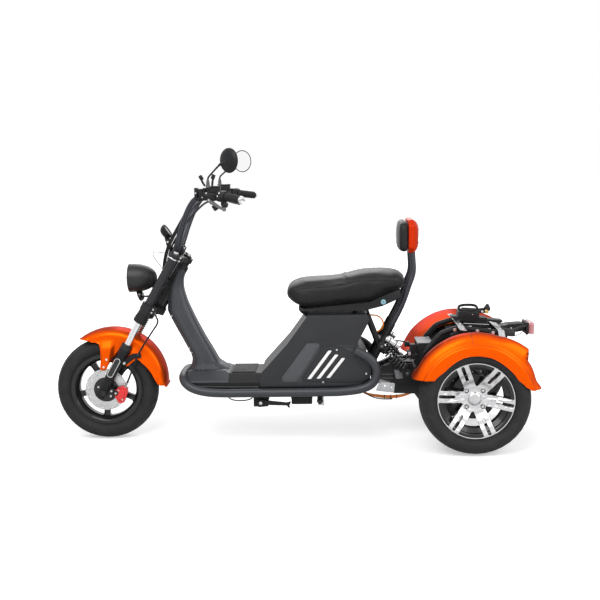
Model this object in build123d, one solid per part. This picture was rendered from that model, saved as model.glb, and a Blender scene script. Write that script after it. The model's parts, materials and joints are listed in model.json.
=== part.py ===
from build123d import *
import os
from math import atan2, cos, degrees, hypot, pi, radians, sin, sqrt, tan

os.makedirs("parts", exist_ok=True)

# Three-wheeled electric scooter: one steered wheel in front, two driven wheels behind.
# Millimetres. +X forward, +Y to the rider's left, +Z up, origin on the floor under the
# middle of the overall length.

# overall sizes
wheelbase = 1660.0
rear_overhang = 308.5
rear_track = 612.0
rake = 30.0
fork_offset = 45.0
steer_limit = 40.0

# clearances
fit_gap = 0.3
running_gap = 0.05
moving_gap = 5.0

# wheels
front_tyre_r = 236.5
front_tyre_w = 118.0
rear_tyre_r = 240.0
rear_tyre_w = 158.0
bead_r = 152.0
front_bead_half = 42.0
rear_bead_half = 50.0
tyre_wall_share = 0.118
crown_share = 0.142
flange_rise = 14.0
rim_wall = 5.0
front_spokes = 5
front_spoke_angle = 275.0
rear_spokes = 6
rear_spoke_angle = 8.0
front_axle_r = 7.5
rear_axle_r = 12.0
disc_r = 97.0
disc_t = 4.0
disc_y = 46.0

# fork
leg_y = 92.0
leg_r = 21.0
stanchion_r = 15.0
stem_r = 15.0
head_tube_r = 22.0
head_tube_low = 470.0
head_tube_high = 688.0
lower_yoke_low = 427.0
yoke_t = 34.0
upper_yoke_low = 700.0
upper_yoke_t = 22.0
yoke_round = 29.0
sleeve_r = 20.0
shroud_r = 29.0
leg_top = 240.0
leg_bottom = -32.0
fender_half = leg_y - leg_r - 0.5
fender_r = 252.0
fender_wall = 3.0
fender_centre = (-38.0, 41.5)

# handlebar
riser_r = 15.0
bar_r = 11.0
grip_r = 17.5
mirror_r = 53.0

# body
neck_wall = 4.0
deck_z = 318.0
deck_low = 246.0
deck_wall = 4.0
bumper_r = 20.0
bumper_front_z = 312.0
bumper_low_z = 248.0
nose_top = bumper_front_z + bumper_r - 2.4
cover_wall = 4.0
frame_tube_r = 16.0
frame_tube_y = 85.0
frame_z = 264.0
seat_half = 150.0
pan_half = 132.0
seat_hinge = (745.0, 594.0)
backrest_y = 85.0
backrest_top_y = 72.0
backrest_r = 13.5
pivot = (412.0, 300.0)
shock_y = 128.0
fender_inner = 110.0
rear_fender_r = 285.0
fender_outer = 94.0
hinge_pin_r = 5.0
stand_pin_r = 8.0
stand_y = 152.0
cover_inner = 148.3
motor_r = 88.0
spring_r = 20.0
spring_wire_r = 3.5
spring_turns = 7
rack_y = 113.0
rack_r = 12.5

half_length = (front_tyre_r + wheelbase + rear_overhang) / 2
front_x = half_length - front_tyre_r
rear_x = front_x - wheelbase
wheel_y = rear_track / 2
fender_inner_y = wheel_y - fender_inner
skirt_y = wheel_y + fender_outer
bumper_y = cover_inner + cover_wall + bumper_r - fit_gap
deck_half = cover_inner - fit_gap
axle_front = (front_x, front_tyre_r)
axle_rear = (rear_x, rear_tyre_r)

# steering frame: u forward and square to the stem, v to the left, w up the stem; w is zero level
# with the front axle
leg_lag = 7.0
stem_to_axle = fork_offset - leg_lag
rake_cos = cos(radians(rake))
rake_sin = sin(radians(rake))
stem_foot = (
    front_x - stem_to_axle * rake_cos,
    front_tyre_r - stem_to_axle * rake_sin,
)
steer = Location(
    Plane(
        origin=(stem_foot[0], 0, stem_foot[1]),
        x_dir=(rake_cos, 0, rake_sin),
        z_dir=(-rake_sin, 0, rake_cos),
    )
)


def save(shape, name):
    shape.label = name
    export_step(shape, "parts/" + name + ".step")


def ahead(x, z):
    """A side-view point set out from the front axle."""
    return (front_x + x, z)


def nose(x, z):
    """A side-view point set out from the front axle, in height too."""
    return (front_x + x, front_tyre_r + z)


def behind(x, z):
    """A side-view point set out from the rear axle."""
    return (rear_x + x, z)


def side_plate(points, y_low, y_high):
    """A side-view outline given thickness across the vehicle."""
    face = Plane.XZ * make_face(Polyline(*points, close=True))
    return Pos(0, y_high, 0) * extrude(face, y_high - y_low)


def front_plate(points, x_low, x_high):
    """A front-view outline of (y, z) points given thickness along the vehicle."""
    face = Plane.YZ * make_face(Polyline(*points, close=True))
    return Pos(x_low, 0, 0) * extrude(face, x_high - x_low)


def rod(points, radius, bends=None):
    """A round bar along straight runs joined by tangent arcs."""
    path = FilletPolyline(*points, radius=bends) if bends else Line(*points)
    start = Plane(origin=path @ 0, z_dir=path % 0)
    return sweep(start * Circle(radius), path)


def pipe_y(radius, y_low, y_high, x, z):
    """A round bar across the vehicle."""
    length = y_high - y_low
    return Pos(x, (y_low + y_high) / 2, z) * Rot(90, 0, 0) * Cylinder(radius, length)


def upright(radius, low, high, u=0, v=0):
    """A round bar along the stem, in the steering frame."""
    return Pos(u, v, (low + high) / 2) * Cylinder(radius, high - low)


def cone_up(low_r, high_r, low, high, u=0, v=0):
    return Pos(u, v, (low + high) / 2) * Cone(low_r, high_r, high - low)


def mirrored(shape):
    return mirror(shape, Plane.XZ)


def both(shape):
    return Compound([*shape.solids(), *mirrored(shape).solids()])


def spin_y(profile_face, x, z):
    """Turn a half section, drawn as (radius, y), once round a wheel's axle."""
    axle = Axis((0, 0, 0), (0, 1, 0))
    return Pos(x, 0, z) * revolve(profile_face, axle)


# wheels


def tyre_outline(outer_r, half_w, bead_half, edge_r):
    """Half section in (radius, y) of a tyre's outside, from bead to bead."""
    middle_r = bead_r + 0.52 * (outer_r - bead_r)
    shoulder = (outer_r - crown_share * (outer_r - bead_r), half_w * 0.78)
    side_up = ThreePointArc((edge_r, bead_half), (middle_r, half_w), shoulder)
    crown = ThreePointArc(shoulder, (outer_r, 0), (shoulder[0], -shoulder[1]))
    side_down = ThreePointArc(
        (shoulder[0], -shoulder[1]), (middle_r, -half_w), (edge_r, -bead_half)
    )
    base = Polyline(
        (edge_r, -bead_half), (bead_r, -bead_half), (bead_r, bead_half), (edge_r, bead_half)
    )
    return make_face([side_up, crown, side_down, base])


def tyre(outer_r, width, bead_half):
    edge_r = bead_r + flange_rise + 2
    wall = tyre_wall_share * (outer_r - bead_r)
    outside = tyre_outline(outer_r, width / 2, bead_half, edge_r)
    inside = tyre_outline(outer_r - wall, width / 2 - wall, bead_half - wall, edge_r)
    return outside - inside


def rim_section(bead_half):
    """Barrel of a cast rim: two flanges, two bead seats and a drop centre."""
    seat_r = bead_r - fit_gap
    flange_y = bead_half + fit_gap
    edge_y = flange_y + rim_wall
    well_r = seat_r - 14
    half = [
        (seat_r, 0.55 * bead_half),
        (seat_r, flange_y),
        (bead_r + flange_rise, flange_y),
        (bead_r + flange_rise, edge_y),
        (seat_r - rim_wall, edge_y),
        (seat_r - rim_wall, 0.55 * bead_half + 4),
        (well_r - rim_wall, 0.35 * bead_half),
    ]
    outer_half = [(well_r, 0.35 * bead_half)] + half[:6]
    points = outer_half + [half[6]]
    low_points = [(r, -y) for r, y in reversed(points)]
    return make_face(Polyline(*points, *low_points, close=True))


def tube_section(inner_r, outer_r, y_low, y_high):
    return make_face(
        Polyline(
            (inner_r, y_low), (outer_r, y_low), (outer_r, y_high), (inner_r, y_high), close=True
        )
    )


def spoke(inner_r, outer_r, inner_half, outer_half, y_low, y_high, angle):
    """A flat cast spoke in the plane of the wheel."""
    outline = [
        (inner_r, -inner_half),
        (outer_r, -outer_half),
        (outer_r, outer_half),
        (inner_r, inner_half),
    ]
    plate = side_plate(outline, y_low, y_high)
    return Rot(0, -angle, 0) * plate


front_tyre_face = tyre(front_tyre_r, front_tyre_w, front_bead_half)
front_tyre = spin_y(front_tyre_face, *axle_front)

rim_inner_r = bead_r - fit_gap - 14 - rim_wall
front_hub_half = 40.0
hub_bore_r = front_axle_r + running_gap
front_wheel_shape = revolve(rim_section(front_bead_half), Axis.Y)
front_wheel_shape += revolve(tube_section(hub_bore_r, 34, -front_hub_half, front_hub_half), Axis.Y)
for index in range(front_spokes):
    angle = front_spoke_angle + 360 / front_spokes * index
    front_wheel_shape += spoke(30, rim_inner_r + 2, 24, 15, -10, 14, angle)
front_rim = Pos(axle_front[0], 0, axle_front[1]) * front_wheel_shape

disc_face = tube_section(52, disc_r, disc_y - disc_t / 2, disc_y + disc_t / 2)
disc = revolve(disc_face, Axis.Y)
carrier_face = tube_section(20, 44, front_hub_half + fit_gap, disc_y + disc_t / 2)
carrier = revolve(carrier_face, Axis.Y)
for index in range(5):
    carrier += spoke(40, 56, 7, 9, disc_y - disc_t / 2, disc_y + disc_t / 2, 72 * index)
disc += carrier
for index in range(20):
    hole_angle = 18 * index
    hole_r = 66 + 9 * (index % 3)
    hole = pipe_y(3.5, disc_y - 5, disc_y + 5, hole_r, 0)
    disc -= Rot(0, hole_angle, 0) * hole
front_disc = Pos(axle_front[0], 0, axle_front[1]) * disc

save(front_tyre, "front_tyre")
save(front_rim, "front_rim")
save(front_disc, "front_disc")

# rear wheels, drawn for the left side and mirrored
rear_tyre_face = tyre(rear_tyre_r, rear_tyre_w, rear_bead_half)
rear_tyre = Pos(0, wheel_y, 0) * spin_y(rear_tyre_face, *axle_rear)
rear_bore_r = rear_axle_r + running_gap
rear_face_y = rear_bead_half + fit_gap + rim_wall
rear_wheel_shape = revolve(rim_section(rear_bead_half), Axis.Y)
rear_wheel_shape += revolve(tube_section(rear_bore_r, 62, 0, 34), Axis.Y)
rear_wheel_shape += revolve(tube_section(rear_bore_r, 78, -34, 0), Axis.Y)
rear_wheel_shape += revolve(tube_section(0, 36, 34, 46), Axis.Y)
rear_spoke = spoke(50, rim_inner_r + 12, 26, 28, 18, 44, 0)
slot_ends = (98.0, rim_inner_r - 9)
slot_half_w = 7.0
for slot_r in slot_ends:
    rear_spoke -= pipe_y(slot_half_w, 17, 45, slot_r, 0)
slot_corners = [(r, side * slot_half_w) for side in (-1, 1) for r in slot_ends[::side]]
rear_spoke -= side_plate(slot_corners, 17, 45)
for index in range(rear_spokes):
    angle = rear_spoke_angle + 360 / rear_spokes * index
    rear_wheel_shape += Rot(0, -angle, 0) * rear_spoke
for index in range(4):
    rear_wheel_shape += Rot(0, -38 - 90 * index, 0) * pipe_y(9, 33, 52, 46, 0)
rear_rim = Pos(axle_rear[0], wheel_y, axle_rear[1]) * rear_wheel_shape
save(rear_tyre, "rear_tyre_left")
save(rear_rim, "rear_rim_left")
save(mirrored(rear_tyre), "rear_tyre_right")
save(mirrored(rear_rim), "rear_rim_right")

# fork, drawn in the steering frame


def yoke(low, thick, leg_round):
    """A clamp plate round the stem and both legs."""
    shape = upright(yoke_round, low, low + thick)
    for side in (-1, 1):
        shape += upright(leg_round, low, low + thick, fork_offset, side * leg_y)
        reach = hypot(fork_offset, leg_y)
        turn = degrees(atan2(side * leg_y, fork_offset))
        arm = Pos(reach / 2, 0, low + thick / 2) * Box(reach, 2 * yoke_round - 10, thick)
        shape += Rot(0, 0, turn) * arm
    return shape


upper_yoke_high = upper_yoke_low + upper_yoke_t
lower_yoke_high = lower_yoke_low + yoke_t
bar_base_u = 55.0
bar_base_v = 55.0
bar_base_w = upper_yoke_high + riser_r + 4
fork = yoke(lower_yoke_low, yoke_t, yoke_round)
fork += yoke(upper_yoke_low, upper_yoke_t, yoke_round - 3)
fork += upright(stem_r, lower_yoke_low, upper_yoke_high)
fork += upright(stem_r + 8, lower_yoke_high, head_tube_low - fit_gap)
fork += upright(stem_r + 8, head_tube_high + fit_gap, upper_yoke_low)
for side in (-1, 1):
    fork += upright(stanchion_r, leg_top - 180, upper_yoke_high, fork_offset, side * leg_y)
    pillar = Pos(bar_base_u, side * 22, (upper_yoke_low + bar_base_w + 20) / 2)
    fork += pillar * Box(38, 20, bar_base_w + 20 - upper_yoke_low)
    fork += Pos(bar_base_u / 2 + 6, side * 22, upper_yoke_low + upper_yoke_t / 2) * Box(
        bar_base_u, 20, upper_yoke_t
    )
bar_bore = pipe_y(riser_r + running_gap, -60, 60, bar_base_u, bar_base_w)
fork -= bar_bore
stem_nut = upright(19, upper_yoke_high, upper_yoke_high + 8)
fork += stem_nut
save(steer * fork, "fork")

leg = upright(leg_r, leg_bottom, leg_top, fork_offset, leg_y)
leg += upright(leg_r + 3, leg_top - 20, leg_top, fork_offset, leg_y)
leg += cone_up(leg_r + 2, leg_r, 40, 60, fork_offset, leg_y)
leg -= upright(stanchion_r + running_gap, leg_top - 180, leg_top + 1, fork_offset, leg_y)
spacer_end = front_hub_half + 1
legs = both(leg)
axle_rod = pipe_y(front_axle_r, -leg_y - leg_r - 6, leg_y + leg_r + 6, stem_to_axle, 0)
axle_nuts = both(pipe_y(13, leg_y + leg_r - 2, leg_y + leg_r + 8, stem_to_axle, 0))
spacers = pipe_y(14, spacer_end + 8, leg_y - leg_r + 4, stem_to_axle, 0)
fork_legs = legs.solids()[0] + legs.solids()[1] + axle_rod
fork_legs = fork_legs + axle_nuts + spacers + mirrored(spacers)
save(steer * fork_legs, "fork_legs")

sleeve_low = lower_yoke_high + fit_gap
sleeve = upright(sleeve_r, sleeve_low, upper_yoke_low - fit_gap, fork_offset, leg_y)
sleeve -= upright(
    stanchion_r + running_gap, sleeve_low - 1, upper_yoke_low + 1, fork_offset, leg_y
)
shroud_low = 372.0
shroud_high = lower_yoke_low - fit_gap
shroud = cone_up(shroud_r, shroud_r - 4, shroud_low, shroud_high, fork_offset, leg_y)
shroud -= cone_up(shroud_r - 3, shroud_r - 7, shroud_low - 1, shroud_high - 6, fork_offset, leg_y)
shroud -= upright(stanchion_r + running_gap, shroud_low, shroud_high + 1, fork_offset, leg_y)
fork_covers = Compound([*both(sleeve).solids(), *both(shroud).solids()])
save(steer * fork_covers, "fork_covers")

# front fender, drawn in side view about its own centre


def fender_section(crown_r, half, edge_r, wall, shoulder):
    """Closed U section in (radius, y)."""
    inner_half = half - wall
    inner_r = crown_r - wall
    points = [
        (edge_r, half),
        (crown_r - shoulder, half),
        (crown_r, half - 1.6 * shoulder),
        (crown_r, 1.6 * shoulder - half),
        (crown_r - shoulder, -half),
        (edge_r, -half),
        (edge_r, -inner_half),
        (inner_r - shoulder, -inner_half),
        (inner_r, 1.6 * shoulder - inner_half),
        (inner_r, inner_half - 1.6 * shoulder),
        (inner_r - shoulder, inner_half),
        (edge_r, inner_half),
    ]
    return make_face(Polyline(*points, close=True))


def arc_piece(face, centre, start_angle, end_angle, y=0):
    """Turn a (radius, y) section round an axle between two side-view angles."""
    piece = revolve(face, Axis((0, 0, 0), (0, -1, 0)), end_angle - start_angle)
    return Pos(centre[0], y, centre[1]) * Rot(0, -start_angle, 0) * piece


fender_mid = nose(*fender_centre)
u_face = fender_section(fender_r, fender_half, fender_r - 34, fender_wall, 12)
front_fender = arc_piece(u_face, fender_mid, 54, 185)
tip_cut = [nose(112, 243), nose(75, 233), nose(40, 227), nose(50, 196), nose(112, 210)]
front_fender -= side_plate(tip_cut, -fender_half - 1, fender_half + 1)
fender_arc = [
    (
        fender_mid[0] + (fender_r - 14) * cos(radians(angle)),
        fender_mid[1] + (fender_r - 14) * sin(radians(angle)),
    )
    for angle in range(184, 60, -4)
]
fender_skirt = [
    nose(66, 232),
    nose(40, 228),
    nose(18, 220),
    nose(7, 205),
    nose(3, 182),
    nose(6, 148),
    nose(13, 108),
    nose(3, 98),
    nose(-10, 98),
    nose(-26, 124),
    nose(-44, 152),
    nose(-78, 160),
    nose(-96, 138),
    nose(-104, 117),
    nose(-118, 121),
    nose(-138, 136),
    nose(-158, 147),
    nose(-172, 137),
    nose(-208, 100),
    nose(-229, 62),
    nose(-243, 27),
    nose(-262, 18),
    *fender_arc,
]
skirt = side_plate(fender_skirt, fender_half - fender_wall, fender_half)
front_fender += skirt + mirrored(skirt)
collar_room = upright(leg_r + 5, leg_top - 26, leg_top + 6, fork_offset, leg_y)
collar_room += upright(leg_r + 5, 34, 66, fork_offset, leg_y)
front_fender -= steer * both(collar_room)
save(front_fender, "front_fender")

# brake caliper on the left leg, behind the disc
caliper_outline = [
    nose(-44, 0),
    nose(-91, 22),
    nose(-104, 8),
    nose(-103, -14),
    nose(-84, -61),
    nose(-58, -55),
    nose(-43, -26),
]
caliper_y = (disc_y - 14.0, disc_y + 26.0)
caliper = side_plate(caliper_outline, *caliper_y)
caliper -= pipe_y(disc_r + 4, front_hub_half - 1, disc_y + 5, *axle_front)
arm_inner_y = disc_y + 16
caliper_arm = Pos(6, (arm_inner_y + leg_y) / 2, 18) * Box(64, leg_y - arm_inner_y, 24)
caliper_arm -= upright(leg_r + fit_gap, -80, 80, fork_offset, leg_y)
front_caliper = caliper + steer * caliper_arm
front_caliper -= pipe_y(36, -10, leg_y - leg_r - 8, *axle_front)
save(front_caliper - steer * fork_legs, "front_caliper")

# brake hose from the lower yoke to the caliper, clipped to a bracket behind the leg
hose_r = 3.5
hose_y = leg_y + 2
hose_line = [
    (front_x - 241, 62, front_tyre_r + 358),
    (front_x - 262, hose_y - 10, front_tyre_r + 318),
    (front_x - 166, hose_y, front_tyre_r + 176),
    (front_x - 112, hose_y, front_tyre_r + 52),
    (front_x - 92, 66, front_tyre_r + 10),
]
brake_hose = rod(hose_line, hose_r, [20, 120, 30])
hose_bracket = side_plate(
    [nose(-96, 128), nose(-108, 122), nose(-146, 158), nose(-174, 160), nose(-172, 176), nose(-138, 174)],
    hose_y - 5,
    hose_y - 2,
)
hose_bracket += pipe_y(6, fender_half, hose_y - 2, *nose(-112, 136))
brake_hose += hose_bracket
save(brake_hose - steer * fork - steer * fork_legs - front_caliper, "brake_hose")

# capsule reflectors on the outside of both legs
capsule_w = (94.0, 164.0)
capsule_half = 13.0
capsule_u = fork_offset + 2
capsule_out = leg_y + leg_r + 3
capsule = pipe_y(capsule_half, leg_y, capsule_out, capsule_u, capsule_w[0])
capsule += pipe_y(capsule_half, leg_y, capsule_out, capsule_u, capsule_w[1])
capsule_length = capsule_w[1] - capsule_w[0]
capsule += Pos(capsule_u, (leg_y + capsule_out) / 2, sum(capsule_w) / 2) * Box(
    2 * capsule_half, capsule_out - leg_y, capsule_length
)
capsule -= upright(leg_r, leg_bottom, leg_top, fork_offset, leg_y)
capsule -= Pos(fork_offset, leg_y, sum(capsule_w) / 2) * Box(60, 2 * leg_r - 12, 120)
save(steer * both(capsule), "fork_reflectors")

# headlight, a bullet lying along the direction of travel
lamp_r = 62.0
lamp_front = nose(-122, 513.5)
lamp_length = 132.0
bullet_outline = make_face(
    [
        Polyline((0, 0), (lamp_r, 0)),
        Line((lamp_r, 0), (lamp_r, 22)),
        ThreePointArc((lamp_r, 22), (lamp_r * 0.8, 84), (10, lamp_length)),
        Polyline((10, lamp_length), (0, lamp_length), (0, 0)),
    ]
)
bullet = revolve(bullet_outline, Axis.Y)
bullet -= revolve(
    make_face(Polyline((0, -1), (lamp_r - 4, -1), (lamp_r - 4, 24), (0, 24), close=True)), Axis.Y
)
to_rear = Location((lamp_front[0], 0, lamp_front[1]), (0, 0, 90))
headlight = to_rear * bullet
bracket_side = [
    nose(-232, 491.5),
    nose(-262, 515.5),
    nose(-280, 403.5),
    nose(-262, 359.5),
    nose(-228, 363.5),
    nose(-226, 439.5),
]
lamp_bracket = side_plate(bracket_side, -8, 8)
lamp_bracket -= steer * fork
lamp_bracket -= steer * upright(head_tube_r + 12, lower_yoke_high, 800)
save(headlight + lamp_bracket, "headlight")
lens = Pos(lamp_front[0] - 8, 0, lamp_front[1]) * Rot(0, 90, 0) * Cylinder(lamp_r - 4 - fit_gap, 12)
save(lens, "headlight_lens")

horn_centre = nose(-172, 429.5)
horn = Pos(horn_centre[0], 0, horn_centre[1]) * Rot(0, 30, 0) * Cylinder(22, 20)
horn += side_plate([nose(-180, 431.5), nose(-180, 423.5), nose(-238, 427.5), nose(-238, 435.5)], -7, 7)
horn -= side_plate(bracket_side, -8 - fit_gap, 8 + fit_gap)
save(horn, "horn")

# handlebar, grips, levers and mirrors, in the steering frame
bar_points = [
    (bar_base_u, bar_base_v, bar_base_w),
    (47, 130, 1006),
    (-27, 240, 1066),
    (-118, 340, 1097),
]
right_points = [(u, -v, w) for u, v, w in bar_points]
riser_line = [right_points[1], right_points[0], bar_points[0], bar_points[1]]
grip_inner = Vector(*bar_points[2])
grip_outer = Vector(*bar_points[3])
handlebar = rod(riser_line, riser_r, [28, 28])
bar_end = rod([bar_points[0], *bar_points[1:]], bar_r, [55, 90])
bar_end -= Pos(0, 0, 700) * Box(600, 600, 400)
handlebar += bar_end + mirrored(bar_end)
save(steer * handlebar, "handlebar")

grip_dir = (grip_outer - grip_inner).normalized()
grip_start = grip_inner + grip_dir * 12
grip_stop = grip_outer + grip_dir * 4
grip = rod([tuple(grip_start), tuple(grip_stop)], grip_r)
grip -= rod(
    [tuple(grip_inner - grip_dir * 40), tuple(grip_outer)], bar_r + running_gap
)
save(steer * both(grip), "grips")

perch_v = 215.0
perch = (-8.0, perch_v, 1052.0)
clamp = Pos(*perch) * Box(34, 30, 34)
clamp += Pos(26, perch_v, 1056) * Box(40, 22, 22)
clamp -= rod([bar_points[1], bar_points[2]], bar_r + running_gap)
lever_blade = rod(
    [(34, perch_v + 6, 1050), (8, perch_v + 60, 1062), (-62, perch_v + 120, 1066)], 6, [60]
)
levers = clamp + lever_blade
save(steer * both(levers), "brake_levers")

mirror_base = (34.0, perch_v, 1072.0)
mirror_centre = (7.6, 300.0, 1217.0)
mirror_turn = 50.0
centre_world = (steer * Pos(*mirror_centre)).position
gaze = Vector(-cos(radians(mirror_turn)), -sin(radians(mirror_turn)), 0)
facing = Location(Plane(origin=centre_world, z_dir=tuple(gaze)))
stem_low = (steer * Pos(*mirror_base)).position
stem_high = centre_world - gaze * 13
stem_bar = rod(
    [
        tuple(stem_low),
        tuple(stem_low + Vector(2, 0, 36)),
        tuple(stem_high - gaze * 14 + Vector(0, 0, -30)),
        tuple(stem_high),
    ],
    4,
    [18, 16],
)
stem_boss = steer * upright(7, 1067 + fit_gap, 1077, mirror_base[0], perch_v)
shell = facing * (Pos(0, 0, -7) * Cylinder(mirror_r, 14))
shell -= facing * (Pos(0, 0, -1) * Cylinder(mirror_r - 4, 4))
mirror_body = shell + stem_bar + stem_boss
save(both(mirror_body), "mirrors")
glass = facing * (Pos(0, 0, -1.2) * Cylinder(mirror_r - 4 - fit_gap, 2))
save(both(glass), "mirror_glass")

display_centre = nose(-293, 722.5)
display = Pos(display_centre[0], 0, display_centre[1]) * Rot(0, -38, 0) * Box(24, 62, 66)
display += rod(
    [
        (display_centre[0], 0, display_centre[1]),
        tuple((steer * Pos(bar_base_u, 0, bar_base_w + 34)).position),
        tuple((steer * Pos(bar_base_u, 0, bar_base_w + riser_r + fit_gap)).position),
    ],
    6,
    [12],
)
save(display, "display")

holder_v = 158.0
bar_run = Vector(*bar_points[2]) - Vector(*bar_points[1])
holder_bar = Vector(*bar_points[1]) + bar_run * ((holder_v - bar_points[1][1]) / bar_run.Y)
phone_holder = upright(17, holder_bar.Z - 12, holder_bar.Z + 24, holder_bar.X, holder_v)
phone_holder -= rod([bar_points[1], bar_points[2]], bar_r + running_gap)
cradle_centre = (holder_bar.X + 4, holder_v, holder_bar.Z + 34)
phone_holder += Pos(*cradle_centre) * Rot(0, 60, 0) * Box(10, 62, 84)
for side in (-1, 1):
    claw_place = Pos(cradle_centre[0], holder_v + side * 34, cradle_centre[2] + 8)
    phone_holder += claw_place * Rot(0, 60, 0) * Box(34, 8, 22)
phone_holder = steer * (phone_holder - handlebar)
save(phone_holder, "phone_holder")

# main frame
head_tube = steer * upright(head_tube_r, head_tube_low, head_tube_high)
stem_bore = steer * upright(stem_r + running_gap, head_tube_low - 2, head_tube_high + 2)
neck_root = steer * Pos(-10, 0, head_tube_low + 60)
root_point = neck_root.position
down_line = [
    (root_point.X, 0, root_point.Z),
    (front_x - 430, 0, 440),
    (front_x - 486, 0, frame_z),
    (front_x - 640, 0, frame_z),
]
down_tube = rod(down_line, frame_tube_r + 4, [120, 60])
socket_top = Vector(rear_x + 371, backrest_y, 473)
backrest_dir = Vector(-68, 0, 125).normalized()
socket_low = socket_top - backrest_dir * 40
frame_turn = socket_top - backrest_dir * 46


def upright_line(side):
    """Rear leg of the floor tube, up into the backrest socket."""
    return [
        (front_x - 600, 0, frame_z),
        (front_x - 680, side * frame_tube_y, frame_z),
        (rear_x + 480, side * frame_tube_y, frame_z),
        (frame_turn.X, side * frame_tube_y, frame_turn.Z),
        (socket_top.X, side * frame_tube_y, socket_top.Z),
    ]


def seat_strut(side):
    """Tube from the floor up to the seat rail."""
    return [
        (rear_x + 860, side * frame_tube_y, frame_z),
        (rear_x + 700, side * frame_tube_y, 560),
        (rear_x + 440, side * frame_tube_y, 572),
    ]


cross_point = (rear_x + 388, 442)
main_frame = head_tube + down_tube
for side in (-1, 1):
    main_frame += rod(upright_line(side), frame_tube_r, [40, 70, 60])
    main_frame += rod(seat_strut(side), frame_tube_r - 3, [60])
    main_frame += rod(
        [
            (rear_x + 396, side * frame_tube_y, 430),
            (rear_x + 450, side * frame_tube_y, 572),
        ],
        frame_tube_r - 3,
    )
    rest = Pos(rear_x + 500, side * frame_tube_y, (572 + 600 - fit_gap) / 2)
    main_frame += rest * Cylinder(10, 600 - fit_gap - 572)
main_frame += pipe_y(frame_tube_r, -frame_tube_y, frame_tube_y, *cross_point)
main_frame += pipe_y(8, -shock_y - 18, shock_y + 18, *cross_point)
main_frame += pipe_y(frame_tube_r, -frame_tube_y, frame_tube_y, rear_x + 468, frame_z + 8)
main_frame += pipe_y(frame_tube_r - 3, -frame_tube_y, frame_tube_y, rear_x + 704, 556)
for side in (-1, 1):
    main_frame -= rod(
        [
            (socket_low.X, side * backrest_y, socket_low.Z),
            (socket_top.X - 30 * 0.48, side * backrest_y, socket_top.Z + 30 * 0.88),
        ],
        backrest_r + running_gap,
    )
    # swing arm pivot lugs
    main_frame += side_plate(
        [
            behind(pivot[0] + 22, pivot[1] - 24),
            behind(pivot[0] - 14, pivot[1] - 24),
            behind(pivot[0] - 14, pivot[1] + 14),
            behind(pivot[0] + 10, pivot[1] + 60),
            behind(pivot[0] + 30, pivot[1] + 20),
        ],
        *sorted((side * (frame_tube_y - 6), side * (frame_tube_y + 6))),
    )
    # seat hinge lugs
    main_frame += side_plate(
        [
            behind(seat_hinge[0] + 9, seat_hinge[1] - 8),
            behind(seat_hinge[0] + 9, seat_hinge[1] + 6),
            behind(seat_hinge[0] - 6, seat_hinge[1] + 8),
            behind(696, 560),
            behind(704, 546),
        ],
        *sorted((side * 34, side * 40)),
    )
main_frame += pipe_y(8, -frame_tube_y, frame_tube_y, rear_x + pivot[0], pivot[1])
main_frame += pipe_y(hinge_pin_r, -40, 40, rear_x + seat_hinge[0], seat_hinge[1])
# stand bracket
stand_plate = side_plate(
    [ahead(-692, 172), ahead(-692, 214), ahead(-758, 214), ahead(-758, 172)],
    stand_y - 16,
    stand_y - 8,
)
stand_arm_y = (frame_tube_y, stand_y - 8)
stand_plate += Pos(front_x - 725, sum(stand_arm_y) / 2, 210) * Box(
    60, stand_arm_y[1] - stand_arm_y[0], 8
)
stand_plate += Pos(front_x - 725, frame_tube_y, 232) * Box(60, 8, 50)
stand_plate += pipe_y(stand_pin_r, stand_y - 12, stand_y + 14, *ahead(-726, 194))
main_frame += stand_plate
main_frame -= stem_bore
save(main_frame, "main_frame")

# neck cover: side outline crossed with a front outline, hollow
neck_foot = nose_top + 0.4
neck_levels = [
    # height, front, rear, half width, corner radius
    (neck_foot, front_x - 388, front_x - 560, 78, 26),
    (neck_foot + 10, front_x - 396, front_x - 552, 76, 26),
    (neck_foot + 24, front_x - 406, front_x - 528, 73, 26),
    (neck_foot + 54, front_x - 408, front_x - 512, 70, 26),
    (front_tyre_r + 178.5, front_x - 394, front_x - 497, 67, 24),
    (front_tyre_r + 228.5, front_x - 369, front_x - 469, 62, 22),
    (front_tyre_r + 314.5, front_x - 325, front_x - 426, 54, 20),
    (front_tyre_r + 363.5, front_x - 301, front_x - 405, 49, 19),
    (front_tyre_r + 405.5, front_x - 303, front_x - 388, 46, 18),
    (front_tyre_r + 470.5, front_x - 308, front_x - 372, 39, 17),
    (front_tyre_r + 498.5, front_x - 322, front_x - 372, 37, 16),
    (front_tyre_r + 539.5, front_x - 343, front_x - 384, 34, 14),
    (front_tyre_r + 552.0, front_x - 350, front_x - 384, 32, 12),
]


def neck_loft(levels, wall):
    """Rounded level sections, joined straight from one to the next."""
    faces = []
    for z, front, rear, half, corner in levels:
        face = RectangleRounded(front - rear - 2 * wall, 2 * (half - wall), corner - 0.8 * wall)
        faces.append(Pos((front + rear) / 2, 0, z) * face)
    return loft(faces, ruled=True)


neck_body = neck_loft(neck_levels, 0)
neck_inner = neck_loft(neck_levels[:-1], neck_wall)
yoke_room = steer * upright(68, 200, head_tube_low - moving_gap + 1)
head_room = steer * upright(head_tube_r + fit_gap, 300, head_tube_high + 20)
neck_collar = steer * upright(head_tube_r + 6, head_tube_low + 30, head_tube_high - 8)
neck_cover = neck_body + neck_collar - neck_inner - head_room - yoke_room
neck_cover -= rod(down_line, frame_tube_r + 5, [120, 60])
save(neck_cover, "neck_cover")

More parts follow.
